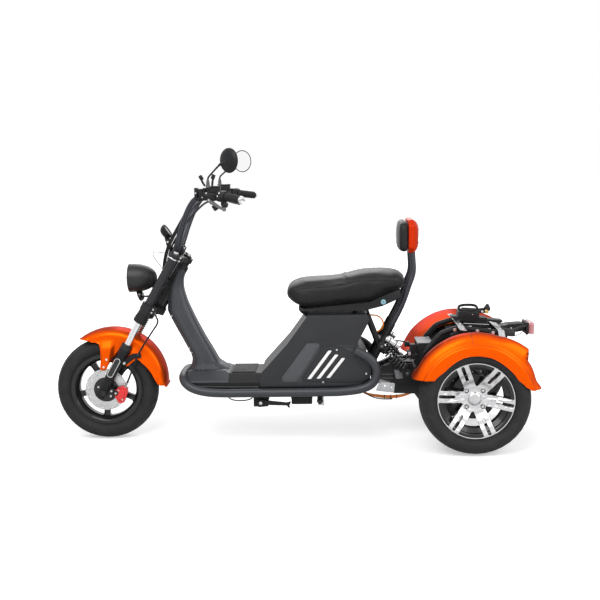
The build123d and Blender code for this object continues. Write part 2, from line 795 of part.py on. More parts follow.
bumper_half = [
    (rear_x + 505, bumper_y, 430),
    (rear_x + 447, bumper_y, 395),
    (rear_x + 416, bumper_y, 318),
    (rear_x + 500, bumper_y, 246),
    (rear_x + 700, bumper_y, 242),
    (front_x - 455, bumper_y, bumper_low_z),
    (front_x - 366, bumper_y, bumper_front_z),
]
bumper_line = bumper_half + [(x, -y, z) for x, y, z in reversed(bumper_half)]
bumper_bends = [35, 50, 300, 200, 40, 60]
floor_bumper = rod(bumper_line, bumper_r, bumper_bends + bumper_bends[::-1])
save(floor_bumper, "floor_bumper")

# floor pan: a moulded deck, open below
nose_x = -366 - bumper_r - fit_gap
deck_side = [
    ahead(nose_x, deck_low),
    ahead(nose_x, nose_top - 11.6),
    ahead(nose_x - 14, nose_top),
    ahead(-567, nose_top),
    ahead(-580, deck_z),
    behind(440, deck_z),
    behind(440, deck_low),
]
deck_inner = [
    ahead(nose_x - deck_wall, deck_low - 1),
    ahead(nose_x - deck_wall, nose_top - 13.6),
    ahead(nose_x - deck_wall - 12, nose_top - deck_wall),
    ahead(-564, nose_top - deck_wall),
    ahead(-578, deck_z - deck_wall),
    behind(444, deck_z - deck_wall),
    behind(444, deck_low - 1),
]
floor_pan = side_plate(deck_side, -deck_half, deck_half)
floor_pan -= side_plate(deck_inner, -deck_half + deck_wall, deck_half - deck_wall)
tube_room = rod(down_line, frame_tube_r + 5, [120, 60])
floor_pan -= tube_room
for side in (-1, 1):
    floor_pan -= rod(seat_strut(side), frame_tube_r, [60])
    floor_pan -= rod(upright_line(side)[1:], frame_tube_r + 1, [70, 60])
floor_pan -= rod(bumper_line, bumper_r + fit_gap, bumper_bends + bumper_bends[::-1])
save(floor_pan, "floor_pan")


# rubber mat on the deck
mat = side_plate(
    [
        ahead(-590, deck_z + fit_gap),
        ahead(-590, deck_z + 5),
        behind(960, deck_z + 5),
        behind(960, deck_z + fit_gap),
    ],
    -deck_half + 14,
    deck_half - 14,
)
save(mat, "foot_mat")

# clamshell body under the seat: two halves that meet on the middle line
cover_low = bumper_low_z + bumper_r
cover_side = [
    behind(937, cover_low),
    behind(937, 318),
    behind(811, 458),
    behind(714, 588),
    behind(452, 588),
    behind(440, 560),
    behind(500, 452),
    behind(470, 425),
    behind(452, 395),
    behind(440, 330),
    behind(452, 292),
    behind(500, cover_low),
]
cover_solid = side_plate(cover_side, fit_gap, cover_inner + cover_wall)
cover_face = Plane.XZ * make_face(Polyline(*cover_side, close=True))
cover_inside = Pos(0, cover_inner, 0) * extrude(offset(cover_face, -cover_wall), cover_inner + 5)
side_cover = cover_solid - cover_inside
deck_room = Pos(rear_x + 700, 0, deck_z - 40 + fit_gap) * Box(600, 2 * cover_inner, 80)
side_cover -= deck_room
side_cover -= Pos(rear_x + 585, 0, 588) * Box(220, 150, 30)
side_cover -= Pos(rear_x + 730, 0, 574) * Box(80, 120, 60)
side_cover -= rod(bumper_line, bumper_r + 1, bumper_bends + bumper_bends[::-1])
side_cover -= rod(upright_line(1), frame_tube_r + 1, [40, 70, 60])
side_cover -= rod(
    [(rear_x + 396, frame_tube_y, 430), (rear_x + 450, frame_tube_y, 572)], frame_tube_r - 2
)
side_cover -= Pos(rear_x + 500, frame_tube_y, 590) * Cylinder(13, 60)
side_cover -= rod(seat_strut(1), frame_tube_r - 2, [60])
cover_face_y = cover_inner + cover_wall
panel_sink = 1.2
slot_sink = 2.6
panel_side = [
    behind(652, 440),
    behind(664, 427),
    behind(752, 305),
    behind(740, 294),
    behind(476, 282),
    behind(450, 294),
    behind(436, 322),
    behind(444, 352),
    behind(480, 386),
    behind(566, 430),
    behind(590, 440),
]
side_cover -= side_plate(panel_side, cover_face_y - panel_sink, cover_face_y + 5)
slot_lines = [((618, 427), (715, 298)), ((589, 408), (674, 299)), ((559, 392), (630, 302))]


def slot_side(top, bottom, half):
    """A slanted slot with level ends."""
    corners = [(top[0] - half, top[1]), (top[0] + half, top[1])]
    corners += [(bottom[0] + half, bottom[1]), (bottom[0] - half, bottom[1])]
    return [behind(x, z) for x, z in corners]


inserts = []
for top, bottom in slot_lines:
    side_cover -= side_plate(slot_side(top, bottom, 9), cover_face_y - slot_sink, cover_face_y + 5)
    insert_side = slot_side((top[0], top[1] - 0.5), (bottom[0], bottom[1] + 0.5), 9 - 2 * fit_gap)
    inserts.append(side_plate(insert_side, cover_face_y - slot_sink, cover_face_y - panel_sink))
save(side_cover, "side_cover_left")
save(mirrored(side_cover), "side_cover_right")
save(both(Compound(inserts)), "cover_inserts")

# battery and its open tray
tray_half = 66.0
tray_x = (rear_x + 514, rear_x + 688)
tray_z = (330.0, 581.5)
tray_wall = 3.0


def block(x_range, half_y, z_range):
    centre = Pos((x_range[0] + x_range[1]) / 2, 0, (z_range[0] + z_range[1]) / 2)
    return centre * Box(x_range[1] - x_range[0], 2 * half_y, z_range[1] - z_range[0])


battery_box = block(tray_x, tray_half, tray_z)
battery_box -= block(
    (tray_x[0] + tray_wall, tray_x[1] - tray_wall), tray_half - tray_wall, (333, 600)
)
for side in (-1, 1):
    flange = Pos(rear_x + 625, side * (tray_half + 8), tray_z[1] - 1.5)
    battery_box += flange * Box(50, 24, 3)
save(battery_box, "battery_box")
battery = block(
    (tray_x[0] + tray_wall + 2, tray_x[1] - tray_wall - 2),
    tray_half - tray_wall - 2,
    (333 + fit_gap, 500),
)
save(battery, "battery")

# seat and its pan, which lift on a hinge at the front
seat_under = [behind(740, 612), behind(436, 640), behind(355, 678), behind(300, 701)]
seat_side = [
    behind(815, 662),
    *seat_under,
    behind(286, 712),
    behind(286, 735),
    behind(300, 762),
    behind(320, 772),
    behind(407, 772),
    behind(477, 766),
    behind(525, 754),
    behind(582, 742),
    behind(670, 738),
    behind(780, 728),
    behind(812, 700),
    behind(823, 676),
]
seat = side_plate(seat_side, -seat_half, seat_half)
seat_flanks = seat.faces().filter_by(Axis.Y)
seat = fillet(seat_flanks.edges(), 11)
save(seat, "seat")
pan_under = [behind(756, 600), behind(457, 600), behind(380, 620), behind(324, 645)]
pan_side = [
    *pan_under,
    behind(302, 656),
    behind(302, 699.4),
    *[(x, z - fit_gap) for x, z in reversed(seat_under[:-1])],
    behind(756, 622 - fit_gap),
]
seat_pan = side_plate(pan_side, -pan_half, pan_half)
for side in (-1, 1):
    seat_pan -= Pos(rear_x + seat_hinge[0], side * 37, seat_hinge[1]) * Box(60, 18, 34)
    knuckle = pipe_y(10, *sorted((side * 16, side * 33.5)), rear_x + seat_hinge[0], seat_hinge[1])
    seat_pan += knuckle
seat_pan -= pipe_y(hinge_pin_r + running_gap, -60, 60, rear_x + seat_hinge[0], seat_hinge[1])
lock_r = 11.5
lock_place = behind(379, 640)
seat_pan -= pipe_y(lock_r + fit_gap, pan_half - 10, pan_half + 1, *lock_place)
save(seat_pan, "seat_pan")
save(pipe_y(lock_r, pan_half - 10, pan_half + 3, *lock_place), "seat_lock")

# backrest: one bent bar, its pad and its shell
bar_foot = socket_low + backrest_dir * fit_gap
backrest_half = [
    (bar_foot.X, backrest_y, bar_foot.Z),
    (rear_x + 303, backrest_y, 598),
    (rear_x + 262, backrest_y - 4, 705),
    (rear_x + 240, backrest_top_y + 4, 768),
    (rear_x + 244, backrest_top_y, 850),
    (rear_x + 246, backrest_top_y - 4, 940),
]
backrest_line = backrest_half + [(x, -y, z) for x, y, z in reversed(backrest_half)]
backrest_bends = [120, 120, 90, 400, 40]
backrest_bar = rod(backrest_line, backrest_r, backrest_bends + backrest_bends[::-1])
save(backrest_bar, "backrest_bar")
pad_centre_z = 926.0
shell_body = Pos(rear_x + 240, 0, pad_centre_z) * Box(44, 230, 150)
shell_back = shell_body.faces().sort_by(Axis.X)[0]
shell_body = chamfer(shell_back.edges(), 16)
shell_body -= rod(backrest_line, backrest_r + fit_gap, backrest_bends + backrest_bends[::-1])
save(shell_body, "backrest_shell")
pad_body = Pos(rear_x + 262 + 22 + fit_gap, 0, pad_centre_z) * Box(44, 230, 150)
pad_front = pad_body.faces().sort_by(Axis.X)[-1]
save(fillet(pad_front.edges(), 16), "backrest_pad")

# swing frame: two arms, a cross box and the rack rails
arm_side = [
    behind(pivot[0] + 14, pivot[1] + 12),
    behind(pivot[0] + 14, pivot[1] - 14),
    behind(345, 262),
    behind(331, 210),
    behind(223, 206),
    behind(100, 205),
    behind(0, 198),
    behind(-34, 240),
    behind(0, 280),
    behind(100, 300),
    behind(223, 356),
    behind(331, 358),
]
arm_y = (44.0, 74.0)
swing_frame = side_plate(arm_side, *arm_y)
swing_frame += mirrored(swing_frame)
swing_frame += block((rear_x + 223, rear_x + 331), 92, (262, 350))
swing_frame -= pipe_y(8 + running_gap, -100, 100, rear_x + pivot[0], pivot[1])
shock_low = (rear_x + 274, 318.0)
swing_frame += pipe_y(8, -shock_y - 18, shock_y + 18, *shock_low)
rail_points = [
    (rear_x + 240, 80, 340),
    (rear_x + 200, rack_y, 400),
    (rear_x + 118, rack_y, 492),
    (rear_x + 49, rack_y, 515),
    (rear_x - 166, rack_y, 487),
    (rear_x - 205, rack_y - 20, 482),
]
rail_bends = [40, 60, 60, 30]
rail = rod(rail_points, rack_r, rail_bends)
swing_frame += rail + mirrored(rail)
rack_cross = (rear_x - 160, 488)
swing_frame += pipe_y(rack_r - 3, -rack_y, rack_y, *rack_cross)
stay_angle = radians(25)
stay_reach = 268
fender_stay = (rear_x + stay_reach * cos(stay_angle), rear_tyre_r + stay_reach * sin(stay_angle))
swing_frame += pipe_y(8, -fender_inner_y + fit_gap, fender_inner_y - fit_gap, *fender_stay)
swing_frame -= pipe_y(motor_r + 3, -100, 100, *axle_rear)
save(swing_frame, "swing_frame")

# zinc plates under the pivot, on the outside of both arms
zinc_side = [behind(387, 263), behind(325, 257), behind(330, 212), behind(414, 223), behind(403, 250)]
zinc_plate = side_plate(zinc_side, arm_y[1], arm_y[1] + 3)
zinc_plate -= pipe_y(4, arm_y[1] - 1, arm_y[1] + 4, *behind(372, 245))
zinc_plate -= pipe_y(3, arm_y[1] - 1, arm_y[1] + 4, *behind(342, 238))
save(both(zinc_plate), "zinc_plates")

# motor cable, hanging under the frame from a floor tube to the left arm
cable_line = [
    (rear_x + 504, frame_tube_y, frame_z - frame_tube_r + 2),
    (rear_x + 452, 72, 208),
    (rear_x + 356, 60, 193),
    (rear_x + 262, 59, 201),
    (rear_x + 222, 59, 218),
]
power_cable = rod(cable_line, 5, [40, 200, 80])
save(power_cable - main_frame - swing_frame, "power_cable")

# motor with its axle tubes and brake plates
axle_end = wheel_y + 33
rear_axle = pipe_y(motor_r, -40, 40, *axle_rear)
rear_axle += pipe_y(motor_r + 2.7, arm_y[0], arm_y[1], *axle_rear)
rear_axle += pipe_y(motor_r + 2.7, -arm_y[1], -arm_y[0], *axle_rear)
rear_axle += pipe_y(28, -wheel_y + 40, wheel_y - 40, *axle_rear)
rear_axle += pipe_y(rear_axle_r, -axle_end, axle_end, *axle_rear)
for side in (-1, 1):
    rear_axle += pipe_y(76, *sorted((side * (wheel_y - 52), side * (wheel_y - 40))), *axle_rear)
save(rear_axle, "rear_axle")

# shocks with coil springs
shock_high = Vector(cross_point[0], 0, cross_point[1])
shock_base = Vector(shock_low[0], 0, shock_low[1])
shock_dir = (shock_high - shock_base).normalized()
shock_length = (shock_high - shock_base).length
along = Location(Plane(origin=(shock_low[0], shock_y, shock_low[1]), x_dir=(0, 1, 0), z_dir=tuple(shock_dir)))
eye = Rot(0, 90, 0) * Cylinder(15, 26)
shock = eye + Pos(0, 0, shock_length) * eye
shock += Pos(0, 0, shock_length * 0.32) * Cylinder(15, shock_length * 0.5)
shock += Pos(0, 0, shock_length * 0.7) * Cylinder(7, shock_length * 0.5)
shock += Pos(0, 0, 24) * Cylinder(24, 5)
shock += Pos(0, 0, shock_length - 22) * Cylinder(24, 5)
spring_low = 24 + 2.5 + spring_wire_r + fit_gap
spring_high = shock_length - 22 - 2.5 - spring_wire_r - fit_gap
for level in (0, shock_length):
    shock -= Pos(0, 0, level) * Rot(0, 90, 0) * Cylinder(8 + running_gap, 40)
spring_height = spring_high - spring_low
coil_path = Helix(spring_height / spring_turns, spring_height, spring_r)
coil_start = Plane(origin=coil_path @ 0, z_dir=coil_path % 0)
coil = Pos(0, 0, spring_low) * sweep(coil_start * Circle(spring_wire_r), coil_path, is_frenet=True)
shock_pair = both(along * shock)
coil_pair = both(along * coil)
save(Compound([*shock_pair.solids(), *coil_pair.solids()]), "rear_shocks")

bottle_r = 14.0
bottle_ends = [(rear_x + 376.5, shock_y, 470), (rear_x + 307.5, shock_y, 430)]
bottle = rod(bottle_ends, bottle_r)
link_start = Vector(cross_point[0], shock_y, cross_point[1])
link_run = (Vector(*bottle_ends[0]) - link_start).normalized()
bottle_link = rod([tuple(link_start + link_run * 12), bottle_ends[0]], 6)
shock_bottles = both(bottle + bottle_link) - shock_pair
save(shock_bottles, "shock_bottles")

controller_box = block((rear_x + 162, rear_x + 232), 78, (360 + fit_gap, 472))
controller_box -= rod(rail_points, rack_r + fit_gap, rail_bends)
controller_box -= mirrored(rod(rail_points, rack_r + fit_gap, rail_bends))
save(controller_box, "controller_box")

# rear fenders
rear_section = [
    (262, fender_inner_y),
    (rear_fender_r - 6, fender_inner_y + 8),
    (rear_fender_r, fender_inner_y + 26),
    (rear_fender_r + 2, skirt_y - 70),
    (278, skirt_y - 28),
    (254, skirt_y - 2),
    (204, skirt_y),
    (204, skirt_y - 3),
    (252, skirt_y - 6),
    (275, skirt_y - 31),
    (rear_fender_r - 1, skirt_y - 72),
    (rear_fender_r - 3, fender_inner_y + 28),
    (rear_fender_r - 9, fender_inner_y + 11),
    (262, fender_inner_y + 3),
]
rear_fender_face = make_face(Polyline(*rear_section, close=True))
rear_fender = arc_piece(rear_fender_face, axle_rear, 20, 174)
edge_bead = Pos(205, skirt_y - 3) * Circle(3)
rear_fender += arc_piece(edge_bead, axle_rear, 20, 174)
fin_outline = [(98, 284), (108, 296), (120, 311), (131, 312), (137, 304), (144, 284)]
fin_side = [
    (rear_x + r * cos(radians(angle)), rear_tyre_r + r * sin(radians(angle)))
    for angle, r in fin_outline
]
rear_fender += side_plate(fin_side, fender_inner_y + 40, skirt_y - 66)
save(rear_fender, "rear_fender_left")
save(mirrored(rear_fender), "rear_fender_right")

# rack straps, top case mount and tail light
strap_tilt = degrees(atan2(28, 215))
straps = []
strap_tops = []
for strap_x in (37, -142):
    rail_z = 515 - 28 * (49 - strap_x) / 215
    low_z = rail_z + rack_r / cos(radians(strap_tilt)) + fit_gap
    nearest_x = min(abs(strap_x - 14.5), abs(strap_x + 14.5))
    fender_z = rear_tyre_r + sqrt(rear_fender_r**2 - nearest_x**2) + 1 + fit_gap
    end_z = min(low_z, fender_z + 1.5)
    outline = [(-fender_inner_y - 36, end_z), (-fender_inner_y + 31, end_z), (-rack_y - 22, low_z)]
    under = outline + [(-y, z) for y, z in reversed(outline)]
    over = [(y, z + 3) for y, z in reversed(under)]
    strap = front_plate(under + over, -14.5, 14.5)
    straps.append(Pos(rear_x + strap_x, 0, 0) * strap - swing_frame)
    strap_tops.append((rear_x + strap_x, low_z + 3))
rack_straps = Compound([solid for strap in straps for solid in strap.solids()])
save(rack_straps, "rack_straps")
front_strap, rear_strap = strap_tops
base_run = Vector(rear_strap[0] - front_strap[0], 0, rear_strap[1] - front_strap[1])
base_tilt = degrees(atan2(base_run.Z, -base_run.X))
base_middle = (Vector(front_strap[0], 0, front_strap[1]) + Vector(rear_strap[0], 0, rear_strap[1])) / 2
base_place = Pos(base_middle.X, 0, base_middle.Z) * Rot(0, base_tilt, 0)
mount_lift = 2.4
mount_block = Pos(0, 0, mount_lift + 2) * Box(230, 60, 4)
mount_block += Pos(32, 0, mount_lift + 15.5) * Box(116, 74, 27)
mount_block += Pos(38, 0, mount_lift + 45) * (Cylinder(44, 34) - Cylinder(30, 60))
mount_block += Pos(-43, 22, mount_lift + 32) * Box(26, 24, 60)
mount_block += Pos(-44, 24, mount_lift + 74) * Box(30, 20, 30)
mount_block += pipe_y(9, 20, 42, -42, mount_lift + 54)
save(base_place * mount_block, "top_case_mount")
tail_x = -half_length
tail_light = Pos(tail_x + 14, 0, 495) * Box(28, 120, 62)
save(tail_light, "tail_light")
tail_bracket = side_plate(
    [
        behind(-156, 498),
        behind(-190, 500),
        (tail_x + 28 + fit_gap, 512),
        (tail_x + 28 + fit_gap, 476),
        behind(-164, 482),
    ],
    -40,
    40,
)
tail_bracket -= pipe_y(rack_r - 3 + fit_gap, -200, 200, *rack_cross)
save(tail_bracket, "tail_bracket")

# folding stand, lying back along the deck
stand_pin = ahead(-726, 194)
stand_arm = [
    ahead(-712, 206),
    ahead(-712, 182),
    ahead(-740, 180),
    ahead(-842, 178),
    ahead(-856, 172),
    ahead(-862, 196),
    ahead(-842, 192),
    ahead(-740, 206),
]
side_stand = side_plate(stand_arm, stand_y - 7.5, stand_y + 8)
side_stand -= pipe_y(stand_pin_r + running_gap, 100, 200, *stand_pin)
save(side_stand, "side_stand")

# under-floor box and foot pegs
floor_box = Pos(rear_x + 751, frame_tube_y, 189) * Box(98, 60, 38)
for offset_x in (-30, 30):
    hanger = Pos(rear_x + 751 + offset_x, frame_tube_y, 226) * Box(14, 20, 44)
    floor_box += hanger
tube_cut = rod([(rear_x + 500, frame_tube_y, frame_z), (front_x - 700, frame_tube_y, frame_z)], frame_tube_r + fit_gap)
floor_box -= tube_cut
save(floor_box, "floor_box")
peg_tilt = 4.0
peg_r = 9.0
peg_root_y = stand_y - 6
peg_length = 40.0
peg_place = Pos(rear_x + 668, peg_root_y, 196) * Rot(peg_tilt, 0, 0)
peg = peg_place * pipe_y(peg_r, 0, peg_length, 0, 0)
peg += peg_place * pipe_y(peg_r + 5, -6, 0, 0, 0)
peg += Pos(rear_x + 668, (frame_tube_y + peg_root_y) / 2 - 8, 202) * Box(24, peg_root_y - frame_tube_y + 6, 8)
peg += Pos(rear_x + 668, frame_tube_y, 224) * Box(24, 10, 50)
peg -= tube_cut
save(both(peg), "foot_pegs")
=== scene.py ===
import bpy
import bmesh
import json
from math import asin, atan2, cos, degrees, hypot, pi, radians, sin, sqrt, tan
from mathutils import Matrix, Vector


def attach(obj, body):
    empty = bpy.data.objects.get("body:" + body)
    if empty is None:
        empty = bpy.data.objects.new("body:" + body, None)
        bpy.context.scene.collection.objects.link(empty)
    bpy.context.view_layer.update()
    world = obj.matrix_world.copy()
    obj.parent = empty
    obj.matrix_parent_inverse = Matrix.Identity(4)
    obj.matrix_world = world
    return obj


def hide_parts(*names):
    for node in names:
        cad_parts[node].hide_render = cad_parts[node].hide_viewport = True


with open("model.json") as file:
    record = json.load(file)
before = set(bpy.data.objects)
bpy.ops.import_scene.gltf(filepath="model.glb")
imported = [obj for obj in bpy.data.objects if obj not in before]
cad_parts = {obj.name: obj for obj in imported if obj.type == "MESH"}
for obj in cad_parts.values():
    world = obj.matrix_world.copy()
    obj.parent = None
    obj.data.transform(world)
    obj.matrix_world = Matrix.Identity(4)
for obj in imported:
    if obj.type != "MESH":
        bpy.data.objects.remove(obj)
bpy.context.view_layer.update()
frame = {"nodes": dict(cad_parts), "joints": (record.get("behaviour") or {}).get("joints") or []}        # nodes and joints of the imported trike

scene = bpy.context.scene
joints = {joint["name"]: joint for joint in frame["joints"]}
print("frame loaded,", len(frame["nodes"]), "nodes")

# places that everything is set out from, in metres: +X forward, +Y rider's left, +Z up
frontAxle = Vector(joints["front_wheel_spin"]["pos_m"])
leftAxle = Vector(joints["rear_left_spin"]["pos_m"])
rightAxle = Vector(joints["rear_right_spin"]["pos_m"])
stemAxis = Vector(joints["steering_turn"]["axis"]).normalized()
stemAcross = Vector((0, 1, 0))
stemAhead = stemAcross.cross(stemAxis)
stemFoot = Vector(joints["steering_turn"]["pos_m"])
stemFoot -= stemAxis * (stemFoot - frontAxle).dot(stemAxis)        # level with the front axle


def ahead(x, z, y=0.0):
    return Vector((frontAxle.x + x, y, z))        # set out from the front axle, height from the floor


def behind(x, z, y=0.0):
    return Vector((leftAxle.x + x, y, z))        # set out from the rear axle


def aheadAll(points, side=1):
    return [ahead(x, z, side * y) for x, z, y, *rest in points]


def behindAll(points, side=1):
    return [behind(x, z, side * y) for x, z, y, *rest in points]


def onStem(u, v, w):
    return stemFoot + stemAhead * u + stemAcross * v + stemAxis * w


# materials

def plug(node, inputs):
    # each input takes a value or another node's output
    for socket, value in inputs.items():
        if isinstance(value, bpy.types.NodeSocket):
            node.id_data.links.new(value, node.inputs[socket])
        else:
            node.inputs[socket].default_value = value


def addNode(tree, kind, inputs=None, **settings):
    made = tree.nodes.new("ShaderNode" + kind)
    for setting, value in settings.items():
        setattr(made, setting, value)
    plug(made, inputs or {})
    return made


def ramp(tree, value, places, tones):
    made = addNode(tree, "ValToRGB", {"Fac": value})
    for element, place, tone in zip(made.color_ramp.elements, places, tones):
        element.position = place
        element.color = [*tone, 1]
    return made.outputs["Color"]


def mixTone(tree, share, tone, other):
    mix = addNode(tree, "Mix", {"Factor": share, "A": tone, "B": [*other, 1]}, data_type="RGBA")
    return mix.outputs["Result"]


def makeMaterial(name, look):
    # one shader with mottled colour, a fine grain in the bump and a painted highlight on convex edges
    material = bpy.data.materials.new(name)
    material.use_nodes = True
    tree = material.node_tree
    coords = addNode(tree, "TexCoord").outputs
    mottle = addNode(tree, "TexNoise", {"Scale": look.get("mottleScale", 14), "Detail": 4,
                                        "Vector": coords["Object"]})
    spread = look.get("spread", 0.16)
    deeper = [c * (1 - spread) for c in look["colour"]]
    brighter = [min(1, c * (1 + spread)) for c in look["colour"]]
    tone = ramp(tree, mottle.outputs["Fac"], (0.3, 0.7), (deeper, brighter))
    if "crown" in look:
        # painted shade: faces turned up or to the ends are mixed towards the darker crown tone, and faces to the
        # side keep the paint's brighter tone
        facing = addNode(tree, "SeparateXYZ", {"Vector": coords["Normal"]})
        sideways = addNode(tree, "Math", {0: facing.outputs["Y"]}, operation="ABSOLUTE")
        start, end = look["crownFrom"]
        share = addNode(tree, "MapRange", {"From Min": start, "From Max": end, "Value": sideways.outputs[0]},
                        interpolation_type="SMOOTHSTEP")
        tone = mixTone(tree, share.outputs["Result"], tone, look["crown"])
    # painted highlight: a lighter tone mixed onto convex edges by their pointiness
    if "edgeHighlight" in look:
        edge = addNode(tree, "NewGeometry").outputs["Pointiness"]
        places = (look.get("wornFrom", 0.53), look.get("wornTo", 0.60))
        share = ramp(tree, edge, places, ([0.0] * 3, [look.get("edgeHighlightShare", 0.5)] * 3))
        tone = mixTone(tree, share, tone, look["edgeHighlight"])
    stretch = addNode(tree, "Mapping", {"Scale": look.get("stretch", (1, 1, 1)), "Vector": coords["Object"]})
    grain = addNode(tree, "TexNoise", {"Scale": look.get("grainScale", 900), "Vector": stretch.outputs["Vector"],
                                       "Detail": look.get("grainDetail", 2)})
    rough, change = look["rough"], look.get("roughSpread", 0.15)
    gloss = addNode(tree, "MapRange", {"To Min": rough * (1 - change), "To Max": min(1, rough * (1 + change)),
                                       "Value": mottle.outputs["Fac"]})
    bump = addNode(tree, "Bump", {"Strength": look.get("bump", 0.08), "Height": grain.outputs["Fac"],
                                  "Distance": look.get("bumpDepth", 0.0004)})
    shader = tree.nodes["Principled BSDF"]
    plug(shader, {"Base Color": tone, "Roughness": gloss.outputs["Result"], "Normal": bump.outputs["Normal"],
                  "Specular IOR Level": look.get("shine", 0.5), **look.get("sockets", {})})
    return material


